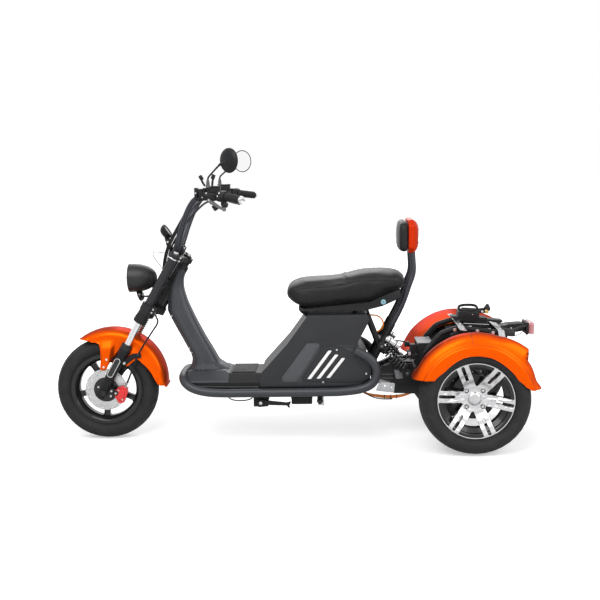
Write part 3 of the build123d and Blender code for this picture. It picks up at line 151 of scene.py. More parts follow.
looks = {
    "satinBlack": {"slot": "satin_black", "colour": (0.01, 0.0105, 0.0115), "rough": 0.42, "shine": 0.22,
                   "edgeHighlight": (0.06, 0.06, 0.065), "edgeHighlightShare": 0.35},
    "glossBlack": {"slot": "gloss_black", "colour": (0.007, 0.007, 0.0075), "rough": 0.22, "shine": 0.35,
                   "grainScale": 500, "bump": 0.03, "sockets": {"Coat Weight": 0.6, "Coat Roughness": 0.08}},
    "orangePaint": {"slot": "orange_paint", "colour": (0.88, 0.098, 0.002), "rough": 0.31, "shine": 0.05,
                    # the crown tone is painted shade, laid on faces turned up or to the ends
                    "crown": (0.34, 0.042, 0.016), "crownFrom": (0.88, 0.12), "spread": 0.07,
                    "mottleScale": 5, "grainScale": 2600, "bump": 0.05, "bumpDepth": 0.0002,
                    "edgeHighlight": (0.8, 0.16, 0.01), "edgeHighlightShare": 0.2,
                    "sockets": {"Metallic": 0.55, "Specular Tint": (1.0, 0.34, 0.16, 1)}},
    # a darker copy of the orange paint for the backrest shell: painted shade for a part that faces away to the
    # side
    "orangePaintedShade": {"slot": "orange_paint", "colour": (0.58, 0.03, 0.002), "rough": 0.34, "shine": 0.1,
                   "spread": 0.07, "mottleScale": 5, "grainScale": 2600, "bump": 0.05, "bumpDepth": 0.0002,
                   "sockets": {"Metallic": 0.3}},
    "bodyGrey": {"slot": "grey_plastic", "colour": (0.048, 0.051, 0.058), "rough": 0.4, "shine": 0.3,
                 "spread": 0.08, "mottleScale": 8, "grainScale": 1500, "bump": 0.1,
                 "edgeHighlight": (0.1, 0.105, 0.115), "edgeHighlightShare": 0.3, "sockets": {"Metallic": 0.25}},
    "barGrey": {"slot": "grey_plastic", "colour": (0.04, 0.042, 0.052), "rough": 0.34, "shine": 0.4,
                "spread": 0.08, "mottleScale": 8, "grainScale": 1500, "bump": 0.06,
                "edgeHighlight": (0.14, 0.145, 0.16), "edgeHighlightShare": 0.3, "sockets": {"Metallic": 0.4}},
    "bootGrey": {"slot": "rubber", "colour": (0.085, 0.085, 0.088), "rough": 0.55, "shine": 0.3,
                 "grainScale": 900, "bump": 0.15},
    "lampBlack": {"slot": "gloss_black", "colour": (0.02, 0.02, 0.021), "rough": 0.38, "shine": 0.3,
                  "grainScale": 1200, "bump": 0.1, "edgeHighlight": (0.05, 0.05, 0.055), "edgeHighlightShare": 0.3},
    "coverGrey": {"slot": "dark_plastic", "colour": (0.024, 0.025, 0.028), "rough": 0.42, "shine": 0.3,
                  "spread": 0.08, "mottleScale": 8, "grainScale": 1500, "bump": 0.08,
                  "edgeHighlight": (0.1, 0.105, 0.115), "edgeHighlightShare": 0.3},
    "insetGrey": {"slot": "grey_plastic", "colour": (0.072, 0.074, 0.08), "rough": 0.5, "shine": 0.3,
                  "spread": 0.08, "grainScale": 1800, "bump": 0.12},
    "darkPlastic": {"slot": "dark_plastic", "colour": (0.012, 0.012, 0.013), "rough": 0.5, "shine": 0.22,
                    "spread": 0.12, "grainScale": 1200, "bump": 0.16, "edgeHighlight": (0.055, 0.055, 0.06),
                    "edgeHighlightShare": 0.3},
    "deckRubber": {"slot": "rubber", "colour": (0.02, 0.021, 0.022), "rough": 0.62, "shine": 0.2,
                   "grainScale": 700, "bump": 0.2},
    "tyreRubber": {"slot": "tyre_rubber", "colour": (0.023, 0.023, 0.0235), "rough": 0.66, "shine": 0.2,
                   "spread": 0.22, "mottleScale": 26, "grainScale": 1400, "bump": 0.22,
                   "edgeHighlight": (0.05, 0.05, 0.05), "edgeHighlightShare": 0.3},
    "gripRubber": {"slot": "rubber", "colour": (0.014, 0.014, 0.015), "rough": 0.58, "shine": 0.25,
                   "grainScale": 1600, "bump": 0.2},
    "rimBlack": {"slot": "black_rim", "colour": (0.008, 0.008, 0.009), "rough": 0.3, "shine": 0.3,
                 "grainScale": 900, "bump": 0.05, "sockets": {"Coat Weight": 0.4, "Coat Roughness": 0.12}},
    "machined": {"slot": "machined_rim", "colour": (0.66, 0.66, 0.67), "rough": 0.3, "spread": 0.05,
                 "mottleScale": 40, "grainScale": 420, "stretch": (1, 9, 1), "bump": 0.02,
                 "sockets": {"Metallic": 1.0}},
    "brushedSteel": {"slot": "steel", "colour": (0.62, 0.62, 0.62), "rough": 0.32, "spread": 0.08,
                     "mottleScale": 60, "grainScale": 700, "stretch": (1, 1, 12), "bump": 0.12,
                     "sockets": {"Metallic": 1.0}},
    "chrome": {"slot": "steel", "colour": (0.82, 0.82, 0.83), "rough": 0.1, "spread": 0.03, "grainScale": 300,
               "bump": 0.02, "sockets": {"Metallic": 1.0}},
    "zincPlate": {"slot": "zinc", "colour": (0.56, 0.57, 0.58), "rough": 0.38, "spread": 0.14,
                  "mottleScale": 70, "grainScale": 400, "bump": 0.08, "edgeHighlight": (0.78, 0.78, 0.78),
                  "sockets": {"Metallic": 0.9}},
    "brass": {"slot": "steel", "colour": (0.7, 0.45, 0.16), "rough": 0.25, "sockets": {"Metallic": 1.0}},
    "caliperRed": {"slot": "red_caliper", "colour": (0.72, 0.012, 0.012), "rough": 0.3, "spread": 0.08,
                   "grainScale": 900, "bump": 0.12, "sockets": {"Coat Weight": 0.5, "Coat Roughness": 0.1}},
    "seatLeather": {"slot": "seat_cover", "colour": (0.01, 0.01, 0.0105), "rough": 0.5, "shine": 0.24,
                    "spread": 0.18, "mottleScale": 30, "grainScale": 620, "grainDetail": 6, "bump": 0.34,
                    "bumpDepth": 0.0006, "sockets": {"Sheen Weight": 0.12, "Sheen Roughness": 0.4}},
    "clearLens": {"slot": "lens_clear", "colour": (0.9, 0.9, 0.9), "rough": 0.06, "spread": 0.02,
                  "bump": 0.02, "sockets": {"Transmission Weight": 0.9, "IOR": 1.49}},
    "redLens": {"slot": "lens_red", "colour": (0.72, 0.3, 0.33), "rough": 0.14, "spread": 0.05,
                "grainScale": 260, "bump": 0.3,
                "sockets": {"Transmission Weight": 0.35, "IOR": 1.49, "Coat Weight": 0.6}},
    "mirrorGlass": {"slot": "mirror", "colour": (0.93, 0.93, 0.94), "rough": 0.03, "spread": 0.01,
                    "bump": 0.0, "sockets": {"Metallic": 1.0}},
    "slotWhite": {"slot": "white_plastic", "colour": (0.86, 0.86, 0.85), "rough": 0.45, "spread": 0.03,
                  "grainScale": 1300, "bump": 0.06},
    "amber": {"slot": "lens_red", "colour": (0.85, 0.3, 0.03), "rough": 0.25,
              "sockets": {"Transmission Weight": 0.3}},
    "lockBlue": {"slot": "steel", "colour": (0.3, 0.52, 0.62), "rough": 0.3, "sockets": {"Metallic": 0.6}},
    "batteryCase": {"slot": "battery_case", "colour": (0.02, 0.028, 0.06), "rough": 0.5, "shine": 0.25,
                    "grainScale": 300, "bump": 0.2},
    "orangeCable": {"slot": "orange_cable", "colour": (0.86, 0.24, 0.02), "rough": 0.42, "grainScale": 500,
                    "bump": 0.05},
    "blackCable": {"slot": "rubber", "colour": (0.013, 0.013, 0.014), "rough": 0.48, "shine": 0.25,
                   "grainScale": 900, "bump": 0.1},
    "braidGrey": {"slot": "steel", "colour": (0.1, 0.1, 0.11), "rough": 0.4, "grainScale": 2200, "bump": 0.4},
    "bracketGrey": {"slot": "steel", "colour": (0.16, 0.16, 0.17), "rough": 0.4,
                    "sockets": {"Metallic": 0.6}},
}
paint = {name: makeMaterial(name, look) for name, look in looks.items()}

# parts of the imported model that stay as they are; the rest are black
nodeFinish = {"battery": "batteryCase"}


def coat(obj, finish):
    obj.data.materials.clear()
    obj.data.materials.append(paint[finish])


for nodeName, node in frame["nodes"].items():
    coat(node, nodeFinish.get(nodeName, "satinBlack"))
print("materials ready")

# camera, lamps and floor

camera = bpy.data.objects.new("Camera", bpy.data.cameras.new("Camera"))
scene.collection.objects.link(camera)
scene.camera = camera
shot = {
    "place": (-0.184, 4.249, 1.241),
    "right": (-0.99933, -0.03115, -0.01935),
    "up": (-0.01476, -0.14157, 0.98982),
    "back": (-0.03357, 0.98944, 0.14102),
    "lens": 56.02,
    "sensor": 36.0,
}
camera.data.lens = shot["lens"]
camera.data.sensor_width = shot["sensor"]
turn = Matrix((shot["right"], shot["up"], shot["back"])).transposed()
camera.matrix_world = Matrix.Translation(shot["place"]) @ turn.to_4x4()
camera.data.clip_end = 60

scene.view_settings.view_transform = "Standard"
world = bpy.data.worlds.new("Studio")
scene.world = world
world.use_nodes = True
sky = {"fill": 0.5, "shown": 1.0}


def whiteWorld():
    # soft fill for the trike, plain white for the camera and in mirrors and glass
    tree = world.node_tree
    path = addNode(tree, "LightPath").outputs
    sharp = addNode(tree, "Math", {0: path["Is Glossy Ray"], 1: path["Is Transmission Ray"]},
                    operation="MAXIMUM")
    seen = addNode(tree, "Math", {0: path["Is Camera Ray"], 1: sharp.outputs[0]}, operation="MAXIMUM")
    strength = addNode(tree, "MapRange", {"To Min": sky["fill"], "To Max": sky["shown"],
                                          "Value": seen.outputs[0]})
    plug(tree.nodes["Background"], {"Color": (1, 1, 1, 1), "Strength": strength.outputs["Result"]})


whiteWorld()

lamps = {
    "KeySoftbox": {"place": (0.9, 2.6, 3.2), "aim": (0.0, 0.0, 0.5), "size": 2.6, "power": 95},
    "FillSoftbox": {"place": (-2.8, 1.9, 1.9), "aim": (-0.4, 0.0, 0.5), "size": 2.0, "power": 40},
    "BackSoftbox": {"place": (0.2, -3.0, 2.8), "aim": (0.0, 0.0, 0.5), "size": 2.6, "power": 60},
}
for lampName, lamp in lamps.items():
    light = bpy.data.lights.new(lampName, "AREA")
    light.size = lamp["size"]
    light.energy = lamp["power"]
    holder = bpy.data.objects.new(lampName, light)
    scene.collection.objects.link(holder)
    holder.location = lamp["place"]
    holder.rotation_euler = (Vector(lamp["aim"]) - Vector(lamp["place"])).to_track_quat("-Z", "Y").to_euler()

floorPaint = bpy.data.materials.new("FloorWhite")
floorPaint.use_nodes = True
floorLook = {"glow": 0.44, "colour": 0.84, "far": 1.0, "fade": (1.3, 3.2)}


def whiteFloor():
    tree, tone = floorPaint.node_tree, floorLook["colour"]
    shader = tree.nodes["Principled BSDF"]
    plug(shader, {"Base Color": (tone, tone, tone, 1), "Roughness": 0.9, "Specular IOR Level": 0.0})
    # the glow rises with the distance from the trike, so that the floor runs out into white
    away = addNode(tree, "VectorMath", {0: addNode(tree, "NewGeometry").outputs["Position"]},
                   operation="LENGTH")
    near, far = floorLook["fade"]
    rise = addNode(tree, "MapRange", {"From Min": near, "From Max": far, "To Min": floorLook["glow"],
                                      "To Max": floorLook["far"], "Value": away.outputs["Value"]},
                   interpolation_type="SMOOTHSTEP")
    seen = addNode(tree, "LightPath").outputs["Is Camera Ray"]
    strength = addNode(tree, "MapRange", {"To Min": 0.0, "To Max": rise.outputs["Result"], "Value": seen})
    glow = addNode(tree, "Emission", {"Strength": strength.outputs["Result"]})
    both = addNode(tree, "AddShader", {0: shader.outputs["BSDF"], 1: glow.outputs["Emission"]})
    plug(tree.nodes["Material Output"], {"Surface": both.outputs["Shader"]})


whiteFloor()
bpy.ops.mesh.primitive_plane_add(size=24, location=(0, 0, 0))
floor = bpy.context.active_object
floor.name = "StudioFloor"
floor.data.materials.append(floorPaint)
print("camera, lamps and floor ready")

# shaping tools

def newObject(name, mesh):
    obj = bpy.data.objects.new(name, mesh)
    scene.collection.objects.link(obj)
    return obj


def meshPiece(name, points, faces):
    mesh = bpy.data.meshes.new(name)
    mesh.from_pydata([tuple(p) for p in points], [], faces)
    mesh.validate()
    return newObject(name, mesh)


def tidyMesh(obj, sharp):
    work = bmesh.new()
    work.from_mesh(obj.data)
    bmesh.ops.remove_doubles(work, verts=work.verts, dist=1e-6)
    bmesh.ops.recalc_face_normals(work, faces=work.faces)
    for face in work.faces:
        face.smooth = True
    work.to_mesh(obj.data)
    work.free()
    obj.data.set_sharp_from_angle(angle=radians(sharp))


def finishPiece(obj, finish, body="frame", replaces=(), bevel=0.0, steps=2, subdiv=0, wall=0.0, sharp=38):
    tidyMesh(obj, sharp)
    if wall:
        shell = obj.modifiers.new("Wall", "SOLIDIFY")
        shell.thickness = wall
        shell.offset = -1
        shell.use_even_offset = False
    if subdiv:
        obj.modifiers.new("Round", "SUBSURF").levels = subdiv
        obj.modifiers["Round"].render_levels = subdiv
    if bevel:
        edge = obj.modifiers.new("Edges", "BEVEL")
        edge.width = bevel
        edge.segments = steps
        edge.limit_method = "ANGLE"
        edge.angle_limit = radians(32)
        edge.use_clamp_overlap = True
        obj.modifiers.new("Normals", "WEIGHTED_NORMAL").keep_sharp = True
    coat(obj, finish)
    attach(obj, body)
    if replaces:
        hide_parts(*replaces)
    return obj


def settle(obj):
    # the shape with its modifiers made plain, so that it can be joined
    graph = bpy.context.evaluated_depsgraph_get()
    mesh = bpy.data.meshes.new_from_object(obj.evaluated_get(graph))
    obj.modifiers.clear()
    if obj.type == "MESH":
        obj.data = mesh
        return obj
    made = newObject(obj.name + "Mesh", mesh)
    made.matrix_world = obj.matrix_world
    bpy.data.objects.remove(obj)
    return made


def join(name, parts):
    parts = [settle(part) for part in parts]
    if len(parts) > 1:
        with bpy.context.temp_override(active_object=parts[0], object=parts[0], selected_objects=parts,
                                       selected_editable_objects=parts):
            bpy.ops.object.join()
    parts[0].name = name
    return parts[0]


def frameFor(normal, lean=Vector((0, 0, 1))):
    # a turn that carries +Z onto the normal and keeps +Y near the lean
    normal = Vector(normal).normalized()
    if abs(normal.dot(lean)) > 0.98:
        lean = Vector((1, 0, 0))
    across = lean.cross(normal).normalized()
    return Matrix((across, normal.cross(across), normal)).transposed().to_4x4()


def standAt(point, normal, lean=Vector((0, 0, 1))):
    return Matrix.Translation(point) @ frameFor(normal, lean)


# (x, z) drawings, depth along -Y
sidePlane = Matrix(((1, 0, 0, 0), (0, 0, -1, 0), (0, 1, 0, 0), (0, 0, 0, 1)))


def sideAt(y):
    return Matrix.Translation((0, y, 0)) @ sidePlane


def lathe(name, profile, place, steps=96, closed=False):
    # profile holds (radius, height) and turns about the place's own Z
    points, faces, count = [], [], len(profile)
    for step in range(steps):
        turn = 2 * pi * step / steps
        points += [place @ Vector((r * cos(turn), r * sin(turn), h)) for r, h in profile]
    for step in range(steps):
        here, there = step * count, (step + 1) % steps * count
        for i in range(count if closed else count - 1):
            j = (i + 1) % count
            faces.append((here + i, here + j, there + j, there + i))
    return meshPiece(name, points, faces)


def loft(name, rings, capped=True, closed=True):
    points = [p for ring in rings for p in ring]
    count, faces = len(rings[0]), []
    for row in range(len(rings) - 1):
        for i in range(count if closed else count - 1):
            j = (i + 1) % count
            faces.append((row * count + i, row * count + j, (row + 1) * count + j, (row + 1) * count + i))
    if capped:
        faces.append(tuple(range(count))[::-1])
        faces.append(tuple(range(len(points) - count, len(points))))
    return meshPiece(name, points, faces)


def arcPoints(centre, radius, start, end, steps=10):
    return [(centre[0] + radius * cos(radians(start + (end - start) * i / steps)),
             centre[1] + radius * sin(radians(start + (end - start) * i / steps))) for i in range(steps + 1)]


def roundCorners(outline, radius, steps=5, closed=True):
    # swaps each corner of a drawing for an arc, as large as its sides allow
    made, count = [], len(outline)
    radii = radius if isinstance(radius, (list, tuple)) else [radius] * count
    for i, corner in enumerate(outline):
        here = Vector(corner)
        if not closed and i in (0, count - 1):
            made.append(here)
            continue
        before, after = Vector(outline[i - 1]) - here, Vector(outline[(i + 1) % count]) - here
        bend = pi - before.angle(after)
        if bend < 0.02 or radii[i] <= 0:
            made.append(here)
            continue
        reach = min(radii[i] * tan(bend / 2), 0.49 * before.length, 0.49 * after.length)
        start, end = here + before.normalized() * reach, here + after.normalized() * reach
        for step in range(steps + 1):
            t = step / steps
            made.append(start * (1 - t) ** 2 + here * 2 * t * (1 - t) + end * t ** 2)
    return made


def flatPlate(name, loops, depth, place, edge=0.0):
    # a drawing with holes, filled and given depth; the place carries its X, Y and depth
    curve = bpy.data.curves.new(name, "CURVE")
    curve.dimensions = "2D"
    curve.fill_mode = "BOTH"
    curve.extrude = depth / 2 - edge
    curve.bevel_depth = edge
    curve.bevel_resolution = 2
    curve.offset = -edge
    for loop in loops:
        spline = curve.splines.new("POLY")
        spline.points.add(len(loop) - 1)
        for point, (a, b) in zip(spline.points, [tuple(p)[:2] for p in loop]):
            point.co = (a, b, 0, 1)
        spline.use_cyclic_u = True
    holder = newObject(name, curve)
    holder.matrix_world = place
    bpy.context.view_layer.update()
    made = settle(holder)
    made.data.transform(made.matrix_world)
    made.matrix_world = Matrix.Identity(4)
    made.name = name
    return made


def tubeFrames(path):
    tangents = [(path[min(i + 1, len(path) - 1)] - path[max(i - 1, 0)]).normalized()
                for i in range(len(path))]
    lean = Vector((0, 0, 1)) if abs(tangents[0].z) < 0.9 else Vector((1, 0, 0))
    across = lean.cross(tangents[0]).normalized()
    frames = []
    for tangent in tangents:
        across = (across - tangent * across.dot(tangent)).normalized()
        frames.append((across, tangent.cross(across)))
    return frames


def tube(name, path, radius, sides=16, section=None, capped=True):
    # a round bar, or another section, carried along a path; the radius may change on the way
    path = [Vector(p) for p in path]
    radii = radius if isinstance(radius, (list, tuple)) else [radius] * len(path)
    shape = section or [(cos(2 * pi * i / sides), sin(2 * pi * i / sides)) for i in range(sides)]
    rings = []
    for point, (a, b), r in zip(path, tubeFrames(path), radii):
        rings.append([point + a * (s * r) + b * (t * r) for s, t in shape])
    return loft(name, rings, capped)


def cablePath(points, detail=8):
    # the smooth line of a cable through its chosen points
    curve = bpy.data.curves.new("cableLine", "CURVE")
    curve.dimensions = "3D"
    curve.resolution_u = detail
    spline = curve.splines.new("NURBS")
    spline.points.add(len(points) - 1)
    for point, place in zip(spline.points, points):
        point.co = (*place, 1)
    spline.order_u = 3
    spline.use_endpoint_u = True
    holder = newObject("cableLine", curve)
    mesh = bpy.data.meshes.new_from_object(holder)
    line = [v.co.copy() for v in mesh.vertices]
    bpy.data.objects.remove(holder)
    return line


def cable(name, points, radius, finish, body="frame", sides=10, detail=8):
    made = tube(name, cablePath(points, detail), radius, sides)
    return finishPiece(made, finish, body, sharp=60)


def roundedBox(name, size, place, radius=0.003, steps=3, taper=0.0):
    # a moulded block with soft edges, at a point or in a turned place; the taper draws its top in
    if isinstance(place, Vector):
        place = Matrix.Translation(place)
    sx, sy, sz = (s / 2 for s in size)
    points = []
    for z, share in ((-sz, 1.0), (sz, 1.0 - taper)):
        points += [(x * share, y * share, z) for x, y in ((-sx, -sy), (sx, -sy), (sx, sy), (-sx, sy))]
    faces = [(0, 3, 2, 1), (4, 5, 6, 7), (0, 1, 5, 4), (1, 2, 6, 5), (2, 3, 7, 6), (3, 0, 4, 7)]
    made = meshPiece(name, [place @ Vector(p) for p in points], faces)
    work = bmesh.new()
    work.from_mesh(made.data)
    bmesh.ops.bevel(work, geom=list(work.edges), offset=radius, segments=steps, profile=0.6, affect="EDGES",
                    clamp_overlap=True)
    work.to_mesh(made.data)
    work.free()
    return made


def hexReach(turn, radius):
    # from the middle of a six-sided socket to its wall
    return radius * 0.5 / cos(((turn / (pi / 3)) % 1 - 0.5) * pi / 3)


def screwHead(name, point, normal, radius, height=None, socket=True):
    # a cap screw: chamfered head with a six-sided socket
    height = height or radius * 0.8
    steps, place = 24, standAt(point, normal)
    rings = []
    for r, h, six in ((1, 0, 0), (1, 0.75, 0), (0.86, 1, 0), (0.5, 1, 1), (0.5, 0.45, 1), (0.0, 0.38, 0)):
        if not socket and six:
            r, h, six = 0.5, 1.08, 0
        ring = []
        for i in range(steps):
            turn = 2 * pi * i / steps
            reach = hexReach(turn, radius) if six else r * radius
            ring.append(place @ Vector((reach * cos(turn), reach * sin(turn), h * height)))
        rings.append(ring)
    if not socket:
        rings[-1] = [place @ Vector((0, 0, 1.1 * height))] * steps
    return loft(name, rings, capped=False)


def hexNut(name, point, normal, radius, height, stud=0.0):
    place = standAt(point, normal)
    parts = [lathe(name, [(0, 0), (radius, 0), (radius, height * 0.86), (radius * 0.88, height), (0, height)],
                   place, steps=6)]
    if stud:
        parts.append(lathe(name + "Stud", [(0, 0), (radius * 0.55, 0), (radius * 0.55, height + stud * 0.8),
                                           (radius * 0.45, height + stud), (0, height + stud)], place,
                           steps=20))
    parts.append(lathe(name + "Washer", [(0, 0), (radius * 1.25, 0), (radius * 1.25, height * 0.16),
                                         (0, height * 0.16)], place, steps=28))
    return join(name, parts)


def fasteners(name, spots, finish, body="frame", socket=True):
    # many screw heads as one piece; each spot holds point, normal and radius
    heads = [screwHead(name + str(i), point, normal, radius, socket=socket)
             for i, (point, normal, radius) in enumerate(spots)]
    return finishPiece(join(name, heads), finish, body, sharp=30)


def ease(t):
    t = max(0.0, min(1.0, t))
    return t * t * (3 - 2 * t)


def along(table, x):
    # a value read from a short list of (place, value) pairs, eased between them
    if x <= table[0][0]:
        return table[0][1]
    for (a, va), (b, vb) in zip(table, table[1:]):
        if x <= b:
            return va + (vb - va) * ease((x - a) / (b - a))
    return table[-1][1]


print("shaping tools ready")

# tyres

def circleThrough(a, b, c, steps):
    # points of the arc that runs from a through b to c
    a, b, c = Vector(a), Vector(b), Vector(c)
    d = 2 * (a.x * (b.y - c.y) + b.x * (c.y - a.y) + c.x * (a.y - b.y))
    squares = [p.x ** 2 + p.y ** 2 for p in (a, b, c)]
    x = (squares[0] * (b.y - c.y) + squares[1] * (c.y - a.y) + squares[2] * (a.y - b.y)) / d
    y = (squares[0] * (c.x - b.x) + squares[1] * (a.x - c.x) + squares[2] * (b.x - a.x)) / d
    centre = Vector((x, y))
    angles = [atan2(p.y - y, p.x - x) for p in (a, b, c)]
    for i in (1, 2):
        while angles[i] - angles[i - 1] > pi:
            angles[i] -= 2 * pi
        while angles[i] - angles[i - 1] < -pi:
            angles[i] += 2 * pi
    radius = (a - centre).length
    return [(x + radius * cos(angles[0] + (angles[2] - angles[0]) * i / steps),
             y + radius * sin(angles[0] + (angles[2] - angles[0]) * i / steps)) for i in range(steps + 1)]


tyreLooks = {
    "front_tyre": {"body": "front_wheel", "centre": frontAxle, "radius": 0.2365, "half": 0.059,
                   "beadHalf": 0.042, "pitches": 34, "lean": 0.16, "groove": (0.3, 0.86)},
    "rear_tyre_left": {"body": "rear_wheel_left", "centre": leftAxle, "radius": 0.240, "half": 0.079,
                       "beadHalf": 0.050, "pitches": 38, "lean": 0.20, "groove": (0.22, 0.90)},
}
tyreLooks["rear_tyre_right"] = {**tyreLooks["rear_tyre_left"], "body": "rear_wheel_right",
                                "centre": rightAxle}
tyreShape = {"bead": 0.152, "edge": 0.168, "crownDrop": 0.012, "groove": 0.0024, "rib": 0.0009,
             "ribs": (0.178, 0.186, 0.2085), "wall": 0.01}


def makeTyre(node, look):
    outer, half, beadHalf = look["radius"], look["half"], look["beadHalf"]
    bead, edge = tyreShape["bead"], tyreShape["edge"]
    middle = bead + 0.52 * (outer - bead)
    shoulder = (outer - tyreShape["crownDrop"], half * 0.78)
    side = circleThrough((edge, beadHalf), (middle, half), shoulder, 22)
    crown = circleThrough(shoulder, (outer, 0), (shoulder[0], -shoulder[1]), 26)
    profile = [(bead, beadHalf - 0.004), (bead + 0.001, beadHalf), (bead + 0.009, beadHalf + 0.0005)]
    profile += side + crown[1:-1] + [(r, -y) for r, y in reversed(side)]
    profile += [(bead + 0.009, -beadHalf - 0.0005), (bead + 0.001, -beadHalf), (bead, 0.004 - beadHalf)]
    inner = [(outer - 0.016, -half * 0.6), (outer - 0.013, 0), (outer - 0.016, half * 0.6)]
    profile += [(edge, 0.012 - beadHalf)] + inner + [(edge, beadHalf - 0.012)]
    marks = (0.0, 0.05, 0.22, 0.27, 0.5, 0.55, 0.68, 0.73)        # where a pitch's grooves start and end
    depths = (0, 1, 1, 0, 0, 1, 1, 0)
    points, faces, count = [], [], len(profile)
    turns = [(pitch + mark) / look["pitches"] * 2 * pi for pitch in range(look["pitches"]) for mark in marks]
    for number, turn in enumerate(turns):
        cut = depths[number % len(marks)]
        long = number % len(marks) < 4
        for r, y in profile:
            across = abs(y) / half
            reach = r
            tread = r > outer - 0.034
            if tread and cut:
                low, high = look["groove"] if long else (0.5, 0.99)
                if low < across < high:
                    reach -= tyreShape["groove"] * min(1, 6 * min(across - low, high - across))
            if tread and abs(across - 0.12) < 0.05:
                reach -= tyreShape["groove"] * 0.9
            push = 0.0
            for rib in tyreShape["ribs"]:
                if abs(r - rib) < 0.0016 and not tread:
                    push = tyreShape["rib"]
            side = 1 if y > 0 else -1
            lean = look["lean"] * across ** 1.5 * side * (0.55 if long else -0.25)
            angle = turn + lean * (1 if tread else 0.2)
            points.append(look["centre"] + Vector((reach * cos(angle), y + side * push, reach * sin(angle))))
    for row in range(len(turns)):
        here, there = row * count, (row + 1) % len(turns) * count
        for i in range(count):
            j = (i + 1) % count
            faces.append((here + i, here + j, there + j, there + i))
    made = meshPiece(node.replace("_", "") + "Rubber", points, faces)
    return finishPiece(made, "tyreRubber", look["body"], replaces=(node,), sharp=50)


for node, look in tyreLooks.items():
    makeTyre(node, look)
print("tyres done")

# rims

def wheelPlace(centre, side=1, y=0.0):
    # X ahead, Y up and Z out to the wheel's side
    return Matrix.Translation(centre + Vector((0, side * y, 0))) @ Matrix(
        ((1, 0, 0, 0), (0, 0, side, 0), (0, 1, 0, 0), (0, 0, 0, 1)))


def lifted(place, height, shift=Vector((0, 0))):
    return place @ Matrix.Translation((shift.x, shift.y, height))


def barrel(name, half, place, bead, lip, well):
    profile = [(bead - 0.006, -half - 0.005), (bead + lip, -half - 0.005), (bead + lip, -half - 0.0006),
               (bead - 0.001, -half - 0.0004), (bead - 0.001, -half * 0.55), (bead - well, -half * 0.35),
               (bead - well, half * 0.35), (bead - 0.001, half * 0.55), (bead - 0.001, half + 0.0004),
               (bead + lip, half + 0.0006), (bead + lip - 0.0004, half + 0.0022),
               (bead + lip - 0.003, half + 0.0032), (bead + lip - 0.0052, half + 0.0028),
               (bead - 0.002, half + 0.0024), (bead - 0.0065, half - 0.001),
               (bead - 0.0065, half * 0.55 + 0.004), (bead - well - 0.005, half * 0.35),
               (bead - well - 0.005, -half * 0.35), (bead - 0.0065, -half * 0.55 - 0.004)]
    return lathe(name, profile, place, steps=128, closed=True)


def polar(r, angle):
    return Vector((r * cos(radians(angle)), r * sin(radians(angle))))


frontRim = {"half": 0.042, "lip": 0.014, "well": 0.014, "spokes": 5, "firstSpoke": 275.0, "rootHalf": 0.02,
            "tipHalf": 0.013, "thick": 0.024, "hub": 0.036, "hubHalf": 0.04}


def frontSpoke(place, angle):
    # a flat web with raised edges, wider where it meets the hub
    shape, bead = frontRim, tyreShape["bead"]
    tip = bead - shape["well"] - 0.004
    along, across = polar(1, angle), polar(1, angle + 90)
    rings = []
    stations = ((0.03, 1.1, 1.15), (0.045, 1.0, 1.0), (0.075, 0.86, 0.82), (0.105, 0.72, 0.8),
                (0.125, 0.76, 0.92), (tip, 1.0, 1.15))
    for reach, share, depthShare in stations:
        half = shape["rootHalf"] * share * (1 if share > 0.9 else 0.9)
        deep = shape["thick"] / 2 * depthShare
        ring = []
        for a, b in ((-1, -1), (-0.72, -1), (-0.62, -0.55), (0.62, -0.55), (0.72, -1), (1, -1),
                     (1, 1), (0.72, 1), (0.62, 0.55), (-0.62, 0.55), (-0.72, 1), (-1, 1)):
            flat = along * reach + across * (half * a)
            ring.append(place @ Vector((flat.x, flat.y, deep * b)))
        rings.append(ring)
    return loft("frontSpoke", rings)


def makeFrontRim():
    shape, place = frontRim, wheelPlace(frontAxle)
    parts = [barrel("frontBarrel", shape["half"], place, tyreShape["bead"], shape["lip"], shape["well"])]
    for i in range(shape["spokes"]):
        parts.append(frontSpoke(place, shape["firstSpoke"] + 360 / shape["spokes"] * i))
    h, r = shape["hubHalf"], shape["hub"]
    parts.append(lathe("frontHub", [(0.0078, -h), (0.022, -h), (0.024, -h + 0.006), (r, -0.022), (r, 0.024),
                                    (0.03, h - 0.002), (0.0078, h - 0.002)], place, steps=64, closed=True))
    made = join("FrontRim", parts)
    return finishPiece(made, "rimBlack", "front_wheel", replaces=("front_rim",), bevel=0.0012, steps=2,
                       sharp=32)


makeFrontRim()

frontDisc = {"outer": 0.097, "inner": 0.0555, "thick": 0.004, "y": 0.046, "plate": 0.058}


